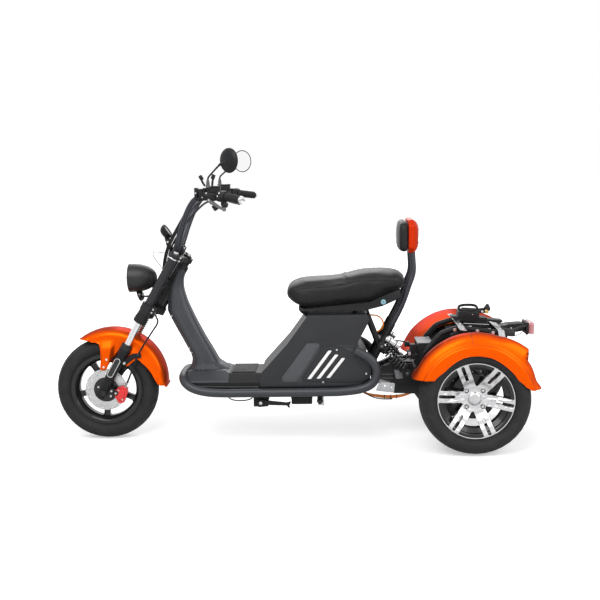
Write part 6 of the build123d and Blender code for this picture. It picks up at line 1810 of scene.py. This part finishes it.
def makeShocks():
    black, springs, rods, bottles, caps = [], [], [], [], []
    for side in (1, -1):
        y = side * shock["side"]
        low, high = behind(*shock["low"], y), behind(*shock["high"], y)
        run = high - low
        place = standAt(low, run)
        long = run.length
        body = [(0, 0.01), (0.0135, 0.012), (0.015, 0.02), (0.024, 0.0215), (0.024, 0.0265), (0.016, 0.027),
                (0.016, 0.036), (0.0145, 0.037), (0.0145, 0.096), (0.012, 0.099), (0.006, 0.099), (0, 0.099)]
        black.append(lathe("ShockBody", body, place, steps=48))
        top = [(0, long - 0.04), (0.011, long - 0.04), (0.0125, long - 0.034), (0.024, long - 0.0245),
               (0.024, long - 0.0195), (0.013, long - 0.018), (0.012, long - 0.01), (0, long - 0.01)]
        black.append(lathe("ShockTop", top, place, steps=48))
        for notch in range(8):
            turn = 2 * pi * notch / 8
            spot = place @ Vector((0.0158 * cos(turn), 0.0158 * sin(turn), 0.0315))
            black.append(roundedBox("Notch", (0.004, 0.004, 0.007),
                                    Matrix.Translation(spot) @ place.to_3x3().to_4x4(), 0.0008))
        rods.append(lathe("ShockRod", [(0, 0.095), (0.0062, 0.095), (0.0062, long - 0.036),
                                       (0, long - 0.036)], place, steps=32))
        for end in (low, high):
            eye = standAt(end, (0, 1, 0))
            black.append(lathe("ShockEye", [(0.0075, -0.013), (0.0135, -0.013), (0.015, -0.0115),
                                            (0.015, 0.0115), (0.0135, 0.013), (0.0075, 0.013)], eye, steps=40,
                               closed=True))
        base, height = 0.03, long - 0.0245 - 0.0036 - 0.03
        coil, count = [], 28 * shock["turns"]
        for i in range(count + 1):
            t = i / count
            turn = 2 * pi * shock["turns"] * t
            reach = shock["coil"]
            coil.append(place @ Vector((reach * cos(turn), reach * sin(turn), base + height * t)))
        springs.append(tube("Coil", coil, shock["wire"], sides=12))
        start, end = behind(*shock["bottleFrom"], y), behind(*shock["bottleTo"], y)
        lie, reach = standAt(start, end - start), (end - start).length
        r = shock["bottle"]
        shape = [(0, 0.004), (r * 0.92, 0.004), (r, 0.006), (r, 0.01), (r * 0.97, 0.0105), (r * 0.97, 0.012),
                 (r, 0.0125), (r, reach - 0.014), (r * 0.95, reach - 0.0135), (r * 0.95, reach - 0.012),
                 (r, reach - 0.0115), (r, reach - 0.004), (r * 0.9, reach), (0, reach)]
        bottles.append(lathe("Bottle", shape, lie, steps=64))
        caps.append(lathe("BottleCap", [(0, -0.002), (r * 0.72, -0.002), (r * 0.8, 0.0), (r * 0.8, 0.004),
                                        (0, 0.004)], lie, steps=32))
        link = [high + (start - high).normalized() * 0.013, start + (end - start).normalized() * 0.002]
        caps.append(tube("BottleLink", link, 0.006, 16))
        for t in (0.3, 0.72):
            middle = start.lerp(end, t)
            caps.append(lathe("BottleClamp", [(r + 0.0001, -0.0022), (r + 0.0011, -0.002),
                                              (r + 0.0011, 0.002), (r + 0.0001, 0.0022)],
                              standAt(middle, end - start), steps=48, closed=True))
            caps.append(tube("ClampLeg", [middle + Vector((-0.004, 0, -0.013)),
                                          middle + Vector((-0.01, 0, -0.024))], 0.0032, 10))
    finishPiece(join("ShockBodies", black), "satinBlack", replaces=("rear_shocks",), sharp=34)
    finishPiece(join("ShockSprings", springs), "glossBlack", sharp=60)
    finishPiece(join("ShockRods", rods), "chrome")
    finishPiece(join("ShockBottles", bottles), "brushedSteel", replaces=("shock_bottles",), sharp=30)
    finishPiece(join("ShockBottleCaps", caps), "satinBlack")
    out = Vector((0, 1, 0))
    spots = []
    for place in (shock["low"], shock["high"]):
        for side in (1, -1):
            spots.append((behind(*place, side * (shock["side"] + 0.0135)), out * side, 0.006))
    fasteners("ShockBolts", spots, "bracketGrey", socket=False)


def makeController():
    # alloy box across the swing frame, with a pale lid and cooling ribs on its front
    box = Matrix.Translation(behind(0.189, 0.4))
    parts = [roundedBox("Case", (0.066, 0.15, 0.078), box, 0.004)]
    for i in range(9):
        parts.append(roundedBox("CaseRib", (0.003, 0.004, 0.064),
                                behind(0.2228, 0.399, -0.062 + i * 0.0155), 0.001))
    finishPiece(join("ControllerBox", parts), "darkPlastic", replaces=("controller_box",), sharp=34)
    lid = roundedBox("ControllerLid", (0.0695, 0.1535, 0.004), behind(0.189, 0.4405), 0.0015)
    finishPiece(lid, "bracketGrey")
    spots = [(behind(0.189 + x, 0.4425, y), (0, 0, 1), 0.003) for x in (-0.028, 0.028)
             for y in (-0.066, 0.066)]
    fasteners("ControllerScrews", spots, "zincPlate")
    blocks = [roundedBox("Coupler", size, behind(x, z, y), 0.003) for x, z, y, size in (
        (0.246, 0.412, 0.074, (0.026, 0.034, 0.052)), (0.262, 0.396, 0.092, (0.02, 0.022, 0.026)),
        (0.24, 0.382, 0.084, (0.03, 0.02, 0.024)), (0.268, 0.431, 0.04, (0.022, 0.03, 0.022)))]
    finishPiece(join("Couplers", blocks), "satinBlack")
    clip = roundedBox("CouplerClip", (0.012, 0.016, 0.014), behind(0.262, 0.4005, 0.108), 0.002)
    finishPiece(clip, "zincPlate")
    for i, (start, middle, end) in enumerate((
            ((0.262, 0.405, 0.098), (0.3, 0.372, 0.108), (0.372, 0.352, 0.084)),
            ((0.25, 0.396, 0.09), (0.292, 0.352, 0.1), (0.386, 0.338, 0.088)),
            ((0.3, 0.436, 0.1), (0.322, 0.414, 0.112), (0.372, 0.4, 0.104)),
            ((0.268, 0.44, 0.06), (0.318, 0.462, 0.05), (0.392, 0.43, 0.04)))):
        cable("SwingCable" + str(i), behindAll((start, middle, end)), 0.0034, "blackCable", detail=14)


def makeSwingTrim():
    out = Vector((0, 1, 0))
    gusset = rearOutline(((0.332, 0.326), (0.298, 0.32), (0.286, 0.284), (0.322, 0.28)), 0.005, 4)
    plates, zinc, lips = [], [], []
    for side in (1, -1):
        lift = sideAt(side * 0.0935)
        plates.append(flatPlate("Gusset", [gusset], 0.004, lift, 0.0008))
        holes = [arcPoints((behind(x, z).x, z), r, 0, 342, 19)
                 for x, z, r in ((0.372, 0.245, 0.0045), (0.342, 0.238, 0.0032))]
        outline = rearOutline(((0.387, 0.263), (0.325, 0.257), (0.33, 0.212), (0.414, 0.223), (0.403, 0.25)),
                              0.004, 4)
        zinc.append(flatPlate("Zinc", [outline, *holes], 0.003, sideAt(side * 0.0758),
                              0.0006))
        lips.append(tube("ZincLip", behindAll(((0.412, 0.2245, 0.0785), (0.372, 0.223, 0.079),
                                               (0.352, 0.229, 0.079), (0.334, 0.215, 0.0785)), side), 0.0014,
                         10))
    finishPiece(join("SwingGussets", plates), "bracketGrey")
    finishPiece(join("ZincPlates", zinc + lips), "zincPlate", replaces=("zinc_plates",), sharp=34)
    # light edge lines along the box arms, and the nuts on the pivot
    lines = []
    for z in (0.299, 0.281):
        for side in (1, -1):
            lines.append(tube("Edge", [behind(0.425, z, side * 0.0748), behind(0.333, z, side * 0.0748)],
                              0.0013, 8))
    finishPiece(join("ArmEdges", lines), "bracketGrey")
    spots = [(behind(0.412, 0.3, side * 0.0755), out * side, 0.011) for side in (1, -1)]
    fasteners("SwingBolts", spots, "zincPlate", socket=False)


def makeMotor():
    # hub motor with its ribbed case, axle tubes and brake plates; the axle stops inside the wheels' caps
    middle = Vector((leftAxle.x, 0, leftAxle.z))
    place = standAt(middle, (0, 1, 0))
    shape = [(0, -0.074), (0.05, -0.074), (0.078, -0.072), (0.086, -0.066), (0.09, -0.06), (0.09, -0.0445),
             (0.0875, -0.043)]
    for i in range(7):
        h = -0.036 + i * 0.011
        shape += [(0.084, h), (0.0878, h + 0.0015), (0.0878, h + 0.0045), (0.084, h + 0.006)]
    shape += [(0.0875, 0.043), (0.09, 0.0445), (0.09, 0.06), (0.086, 0.066), (0.078, 0.072), (0.05, 0.074),
              (0, 0.074)]
    parts = [lathe("MotorCase", shape, place, steps=96)]
    reach = leftAxle.y
    axle = [(0, -reach - 0.006), (0.0105, -reach - 0.006), (0.0125, -reach + 0.01), (0.0125, 0.04 - reach),
            (0.074, 0.04 - reach), (0.076, 0.042 - reach), (0.076, 0.05 - reach), (0.072, 0.053 - reach),
            (0.04, 0.056 - reach), (0.028, 0.062 - reach), (0.028, -0.07)]
    parts.append(lathe("AxleFar", axle + [(0, -0.07)], place, steps=64))
    parts.append(lathe("AxleNear", [(r, -h) for r, h in axle] + [(0, 0.07)], place, steps=64))
    finishPiece(join("RearAxle", parts), "satinBlack", replaces=("rear_axle",), sharp=34)
    spots = []
    for side in (1, -1):
        for i in range(8):
            turn = 2 * pi * (i + 0.5) / 8
            spots.append((middle + Vector((0.068 * cos(turn), side * 0.0735, 0.068 * sin(turn))),
                          (0, side, 0), 0.0045))
    fasteners("MotorBolts", spots, "zincPlate")


def strapBand(name, x, z, width, ends, thick=0.0025):
    # a bent flat band across the rack; its ends hold (side, height) points from the middle outwards
    line = [(-y, h) for y, h in reversed(ends)] + list(ends)
    path = roundCorners([Vector((y, z + h)) for y, h in line], 0.02, 5, closed=False)
    slope = 28 / 215
    rings = []
    for p in path:
        rings.append([behind(x + dx, p.y + dz - dx * -slope, p.x) for dx, dz in (
            (-width / 2, 0), (width / 2, 0), (width / 2, thick), (-width / 2, thick))])
    return loft(name, rings)


def makeRack():
    straps = [strapBand("StrapFront", 0.037, 0.5267, 0.0285, ((0.132, 0.0), (0.166, -0.0045), (0.226, -0.0045))),
              strapBand("StrapRear", -0.142, 0.5034, 0.0285, ((0.132, 0.0), (0.166, -0.026), (0.222, -0.03)))]
    for x, z in ((-0.0125, 0.512), (-0.098, 0.499)):
        rings = []
        for y, drop, lean in ((0.058, -0.008, 0.006), (0.078, 0.0, 0.0), (0.104, -0.01, -0.006),
                              (0.126, -0.022, -0.012)):
            rings.append([behind(x + lean + dx, z + drop + dz + 0.004, y) for dx, dz in (
                (-0.006, 0), (0.006, 0), (0.006, 0.0022), (-0.006, 0.0022))])
        straps.append(loft("StrapLower", rings))
    finishPiece(join("RackStraps", straps), "zincPlate", replaces=("rack_straps",), bevel=0.0005, sharp=34)
    tail = strapBand("StrapTail", -0.187, 0.4945, 0.024, ((0.07, 0.0), (0.104, -0.01)), 0.003)
    finishPiece(tail, "bracketGrey")
    spots = [(behind(x, z, y * side), (0, 0, 1), 0.0055) for x, z, y in (
        (0.037, 0.53, 0.113), (-0.142, 0.5065, 0.113), (-0.142, 0.4765, 0.204), (0.037, 0.525, 0.204))
        for side in (1, -1)]
    fasteners("RackBolts", spots, "zincPlate", socket=False)
    nuts = [hexNut("SideNut", behind(x, z, 0.1265), (0, 1, 0), 0.0062, 0.006) for x, z in (
        (0.062, 0.509), (-0.038, 0.502), (-0.108, 0.493))]
    finishPiece(join("RackNuts", nuts), "zincPlate")
    # near rail's rear end and its rubber bush
    bushes = [lathe("RailEnd", [(0, -0.02), (0.0165, -0.02), (0.0185, -0.017), (0.0185, 0.017),
                                (0.0165, 0.02), (0, 0.02)], standAt(behind(-0.16, 0.4915, side * 0.098),
                                                                    (1, 0, 0.12)), steps=40)
              for side in (1, -1)]
    bushes += [lathe("RailBush", [(0, -0.011), (0.0125, -0.01), (0.0138, -0.004), (0.0138, 0.004),
                                  (0.0125, 0.01), (0, 0.011)], standAt(behind(-0.19, 0.489, side * 0.084),
                                                                       (0, 1, 0)), steps=40)
               for side in (1, -1)]
    finishPiece(join("RailBushes", bushes), "darkPlastic")
    lower = [tube("LowerRail", cablePath(behindAll(((0.075, 0.478, 0.1), (0.02, 0.494, 0.096),
                                                    (-0.06, 0.485, 0.094), (-0.178, 0.47, 0.086)), side)),
                  0.0075, 16) for side in (1, -1)]
    finishPiece(join("LowerRails", lower), "satinBlack")
    rod = tube("RackRod", [behind(0.008, 0.521, 0.03), behind(-0.106, 0.514, 0.03)], 0.0022, 12)
    finishPiece(rod, "chrome")
    loop = [behind(-0.046 + 0.047 * cos(t), 0.492 + 0.016 * sin(t), 0.1485)
            for t in [pi + pi * i / 10 for i in range(11)]]
    cable("StrapLoop", [behind(-0.001, 0.5, 0.128)] + loop[::-1] + [behind(-0.092, 0.497, 0.128)], 0.0023,
          "darkPlastic")


def makeCaseMount():
    # ring handle on its box, with the lever and lock beside it
    box = Matrix.Translation(behind(-0.0135, 0.5605)) @ Matrix.Rotation(radians(-3), 4, "Y")
    parts = [roundedBox("MountBox", (0.098, 0.072, 0.03), box, 0.004, taper=0.04),
             roundedBox("MountBase", (0.232, 0.06, 0.009), Matrix.Translation(behind(-0.052, 0.5385)) @
                        Matrix.Rotation(radians(-5.5), 4, "Y"), 0.002),
             roundedBox("MountSkirt", (0.15, 0.066, 0.02), Matrix.Translation(behind(-0.022, 0.54)) @
                        Matrix.Rotation(radians(-4), 4, "Y"), 0.003)]
    turn = standAt(behind(-0.0135, 0.5885, 0.0), (0, 0.52, 0.85))
    loop = []
    for i in range(60):
        t = 2 * pi * i / 60
        a, b = abs(cos(t)) ** 0.78, abs(sin(t)) ** 0.78
        loop.append(turn @ Vector((0.0415 * a * (1 if cos(t) >= 0 else -1),
                                   0.0205 * b * (1 if sin(t) >= 0 else -1), 0.0)))
    parts.append(tube("RingHandle", loop + loop[:2], 0.0062, 16, capped=False))
    parts.append(roundedBox("RingFoot", (0.06, 0.018, 0.018), behind(-0.0135, 0.577, -0.006), 0.004))
    arm = behindAll(((-0.052, 0.58, 0.006), (-0.078, 0.5815, 0.004), (-0.1, 0.583, 0.0)))
    parts.append(tube("LeverArm", arm, 0.0058, 14))
    lever = standAt(behind(-0.1, 0.572, 0.0), (-0.1, 0, 1))
    parts.append(lathe("Lever", [(0, 0), (0.012, 0.001), (0.0155, 0.008), (0.015, 0.016), (0.01, 0.024),
                                 (0.0075, 0.029), (0.005, 0.0325), (0, 0.0335)], lever, steps=40))
    finishPiece(join("TopCaseMount", parts), "satinBlack", replaces=("top_case_mount",), sharp=36)
    finishPiece(tube("RingPin", [behind(0.016, 0.5905, 0.004), behind(-0.046, 0.5865, 0.004)], 0.0028, 14),
                "chrome")
    brass = lathe("LockBarrel", [(0, -0.008), (0.0078, -0.008), (0.0088, -0.006), (0.0088, 0.006),
                                 (0.0078, 0.008), (0, 0.008)], standAt(behind(-0.0935, 0.574, 0.034),
                                                                       (0, 1, 0.1)), steps=40)
    finishPiece(brass, "brass")
    stem = lathe("LockStem", [(0, -0.03), (0.0052, -0.03), (0.0052, 0.0), (0, 0.0)],
                 standAt(behind(-0.0935, 0.574, 0.028), (0, 1, 0.1)), steps=24)
    finishPiece(stem, "satinBlack")
    spots = [(behind(-0.0735, 0.5745, 0.036), (0, 1, 0.1), 0.0052),
             (behind(-0.03, 0.562, 0.0368), (0, 1, 0), 0.0024)]
    fasteners("MountBolts", spots, "zincPlate", socket=False)
    bridge = roundedBox("LockBridge", (0.052, 0.012, 0.012), behind(-0.078, 0.573, 0.026), 0.002)
    finishPiece(bridge, "satinBlack")


def makeTail():
    outline = rearOutline(((-0.15, 0.5), (-0.19, 0.514), (-0.25, 0.518), (-0.27, 0.514), (-0.272, 0.486),
                           (-0.23, 0.478), (-0.158, 0.476)), 0.006, 4)
    parts = [flatPlate("TailArm", [outline], 0.07, sidePlane, 0.002)]
    parts.append(roundedBox("TailBack", (0.012, 0.104, 0.056), behind(-0.276, 0.496), 0.004))
    for side in (1, -1):
        parts.append(tube("TailStay", behindAll(((-0.2, 0.493, 0.078), (-0.24, 0.503, 0.052),
                                                 (-0.27, 0.508, 0.044)), side), 0.006, 14))
    finishPiece(join("TailBracket", parts), "satinBlack", replaces=("tail_bracket",), sharp=34)
    lens = roundedBox("LensBody", (0.024, 0.112, 0.054), behind(-0.2935, 0.497), 0.011, 4)
    ribs = [roundedBox("LensRib", (0.003, 0.108, 0.0035), behind(-0.306, 0.472 + 0.0078 * i), 0.001)
            for i in range(7)]
    finishPiece(join("TailLight", [lens] + ribs), "redLens", replaces=("tail_light",), sharp=50)
    spots = [(behind(x, z, side * 0.0362), (0, side, 0), 0.0045) for side in (1, -1)
             for x, z in ((-0.205, 0.497), (-0.25, 0.5))]
    fasteners("TailBolts", spots, "zincPlate", socket=False)
    cable("TailWire", behindAll(((-0.176, 0.47, 0.07), (-0.205, 0.462, 0.062), (-0.234, 0.47, 0.06),
                                 (-0.262, 0.486, 0.048))), 0.0018, "blackCable")
    cable("TailWhisker", behindAll(((-0.262, 0.488, 0.052), (-0.268, 0.47, 0.06), (-0.276, 0.452, 0.064))),
          0.0013, "blackCable")


def makeBackrestBars():
    half = [(0.392, 0.4345, 0.085), (0.303, 0.598, 0.085), (0.262, 0.705, 0.081), (0.242, 0.768, 0.076),
            (0.2445, 0.85, 0.072), (0.246, 0.93, 0.068)]
    bars, sleeves = [], []
    for side in (1, -1):
        path = splineThrough(behindAll(half, side), 8)
        bars.append(tube("Bar", path, 0.0126, 28))
        foot = path[:6]
        sleeves.append(tube("Socket", foot, 0.015, 28))
    bars.append(tube("BarTop", [behind(0.246, 0.9285, -0.068), behind(0.246, 0.9285, 0.068)], 0.0126, 28))
    finishPiece(join("BackrestBars", bars), "barGrey", replaces=("backrest_bar",), sharp=60)
    finishPiece(join("BackrestSockets", sleeves), "satinBlack")
    spots = [(behind(0.372, 0.47, side * 0.1), (0, side, 0), 0.0055) for side in (1, -1)]
    fasteners("BackrestBolts", spots, "zincPlate")


def makeStand():
    arm = [ahead(x, z).xz for x, z in ((-0.708, 0.203), (-0.726, 0.21), (-0.746, 0.203), (-0.842, 0.1915),
                                      (-0.862, 0.1965), (-0.853, 0.1745), (-0.838, 0.1785), (-0.742, 0.182),
                                      (-0.726, 0.178), (-0.708, 0.186))]
    outline = roundCorners(arm, (0.012, 0.014, 0.02, 0.02, 0.002, 0.006, 0.02, 0.02, 0.014, 0.012), 5)
    plate = flatPlate("Arm", [outline], 0.012, sideAt(0.1525), 0.002)
    foot = tube("Foot", aheadAll(((-0.846, 0.182, 0.149), (-0.851, 0.174, 0.156), (-0.853, 0.173, 0.1595))),
                0.0045, 12)
    finishPiece(join("SideStand", [plate, foot]), "satinBlack", "stand", replaces=("side_stand",), sharp=34)
    pivot = standAt(ahead(-0.726, 0.194, 0.1672), (0, 1, 0))
    cap = lathe("StandCap", [(0, 0), (0.0125, 0), (0.0125, 0.0028), (0.0112, 0.004), (0, 0.004)], pivot,
                steps=40)
    finishPiece(cap, "satinBlack")
    nut = hexNut("StandNut", ahead(-0.726, 0.194, 0.171), (0, 1, 0), 0.0056, 0.0034, 0.0012)
    finishPiece(nut, "zincPlate")
    # spring from the frame plate to the arm
    start, end = ahead(-0.706, 0.222, 0.128), ahead(-0.77, 0.206, 0.132)
    place, reach, turns = standAt(start, end - start), (end - start).length, 16
    coil = [place @ Vector((0.0052 * cos(2 * pi * i / 14), 0.0052 * sin(2 * pi * i / 14),
                            0.008 + (reach - 0.016) * i / (14 * turns))) for i in range(14 * turns + 1)]
    finishPiece(tube("StandSpring", coil, 0.0012, 8), "brushedSteel", sharp=60)
    bracket = rearOutline(((0.968, 0.236), (0.892, 0.236), (0.904, 0.172), (0.95, 0.168)), 0.01, 5)
    plateB = flatPlate("Bracket", [bracket], 0.005, sideAt(0.1405), 0.001)
    web = roundedBox("BracketWeb", (0.06, 0.052, 0.006), ahead(-0.728, 0.233, 0.115), 0.0015)
    finishPiece(join("StandBracket", [plateB, web]), "satinBlack")


def makeFloorGear():
    box = [roundedBox("FloorCase", (0.094, 0.056, 0.034), behind(0.751, 0.189, 0.085), 0.005),
           roundedBox("FloorLid", (0.098, 0.06, 0.007), behind(0.751, 0.203, 0.085), 0.002)]
    for dx in (-0.03, 0.03):
        box.append(roundedBox("Hanger", (0.013, 0.02, 0.046), behind(0.751 + dx, 0.226, 0.085), 0.002))
    finishPiece(join("FloorBox", box), "darkPlastic", replaces=("floor_box",), sharp=34)
    plates = [roundedBox("FloorPlate", (0.028, 0.004, 0.023), behind(0.6635, 0.173, 0.091), 0.0008),
              roundedBox("FloorTab", (0.01, 0.004, 0.04), behind(0.656, 0.2, 0.089), 0.0008)]
    finishPiece(join("FloorPlates", plates), "zincPlate")
    wires = {
        "PowerCable": ((0.504, 0.252, 0.085), (0.478, 0.222, 0.078), (0.45, 0.207, 0.07),
                       (0.404, 0.198, 0.063), (0.356, 0.193, 0.06), (0.3, 0.195, 0.059),
                       (0.257, 0.204, 0.059), (0.226, 0.216, 0.059)),
        "PowerCableTwo": ((0.498, 0.25, 0.077), (0.47, 0.216, 0.074), (0.44, 0.202, 0.068),
                          (0.396, 0.19, 0.062), (0.35, 0.185, 0.058), (0.302, 0.188, 0.056),
                          (0.262, 0.2, 0.054), (0.23, 0.214, 0.053)),
    }
    lines = [tube(name, cablePath(behindAll(points)), 0.004, 12) for name, points in wires.items()]
    finishPiece(join("PowerCables", lines), "orangeCable", replaces=("power_cable",), sharp=60)
    ties = [lathe("Tie", [(0.0072, -0.0016), (0.0094, -0.0016), (0.0094, 0.0016), (0.0072, 0.0016)],
                  standAt(behind(x, z, y), (1, 0, 0.05)), steps=24, closed=True)
            for x, z, y in ((0.374, 0.1905, 0.061), (0.345, 0.1895, 0.059), (0.318, 0.19, 0.058))]
    ties.append(tube("TieTail", [behind(0.374, 0.186, 0.064), behind(0.373, 0.178, 0.066)], 0.0012, 8))
    ties.append(tube("TieTail", [behind(0.345, 0.185, 0.062), behind(0.343, 0.175, 0.064)], 0.0012, 8))
    finishPiece(join("CableTies", ties), "blackCable")
    cable("UnderCable", behindAll(((0.5, 0.236, 0.1), (0.462, 0.214, 0.09), (0.42, 0.19, 0.078),
                                   (0.372, 0.18, 0.07), (0.338, 0.182, 0.066))), 0.0026, "blackCable")
    cable("DeckWire", aheadAll(((-0.56, 0.244, 0.1), (-0.566, 0.214, 0.104), (-0.59, 0.193, 0.106),
                                (-0.64, 0.189, 0.104), (-0.684, 0.197, 0.1), (-0.7, 0.222, 0.096))),
          0.0028, "blackCable")
    # orange lead that loops out below the back of the seat
    cable("SeatLead", behindAll(((0.47, 0.566, 0.05), (0.42, 0.574, 0.06), (0.385, 0.56, 0.066),
                                 (0.374, 0.528, 0.066), (0.386, 0.498, 0.06), (0.42, 0.486, 0.05))),
          0.0036, "orangeCable")


bumper = {
    "radius": 0.0195,
    "front": ((-0.7, 0.242, 0.172), (-0.56, 0.2425, 0.172), (-0.48, 0.248, 0.17), (-0.42, 0.263, 0.161),
              (-0.386, 0.283, 0.141), (-0.372, 0.299, 0.112), (-0.367, 0.306, 0.062), (-0.3665, 0.308, 0.0)),
    "rear": ((0.64, 0.242, 0.172), (0.56, 0.2445, 0.172), (0.49, 0.2535, 0.172), (0.442, 0.272, 0.172),
             (0.419, 0.3, 0.172), (0.412, 0.335, 0.172), (0.424, 0.368, 0.172), (0.448, 0.396, 0.172),
             (0.476, 0.413, 0.172), (0.508, 0.43, 0.171)),
}


def makeBumper():
    # one bent tube round the bow and along both sides of the deck
    near = behindAll(reversed(bumper["rear"]))
    near += aheadAll(bumper["front"])
    line = near + [Vector((p.x, -p.y, p.z)) for p in reversed(near[:-1])]
    path = splineThrough(line, 6)
    made = tube("FloorBumper", path, bumper["radius"], 32)
    finishPiece(made, "bodyGrey", replaces=("floor_bumper",), sharp=60)


makeShocks()
makeController()
makeSwingTrim()
makeMotor()
makeRack()
makeCaseMount()
makeTail()
makeBackrestBars()
makeStand()
makeFloorGear()
makeBumper()
print("rear end done")
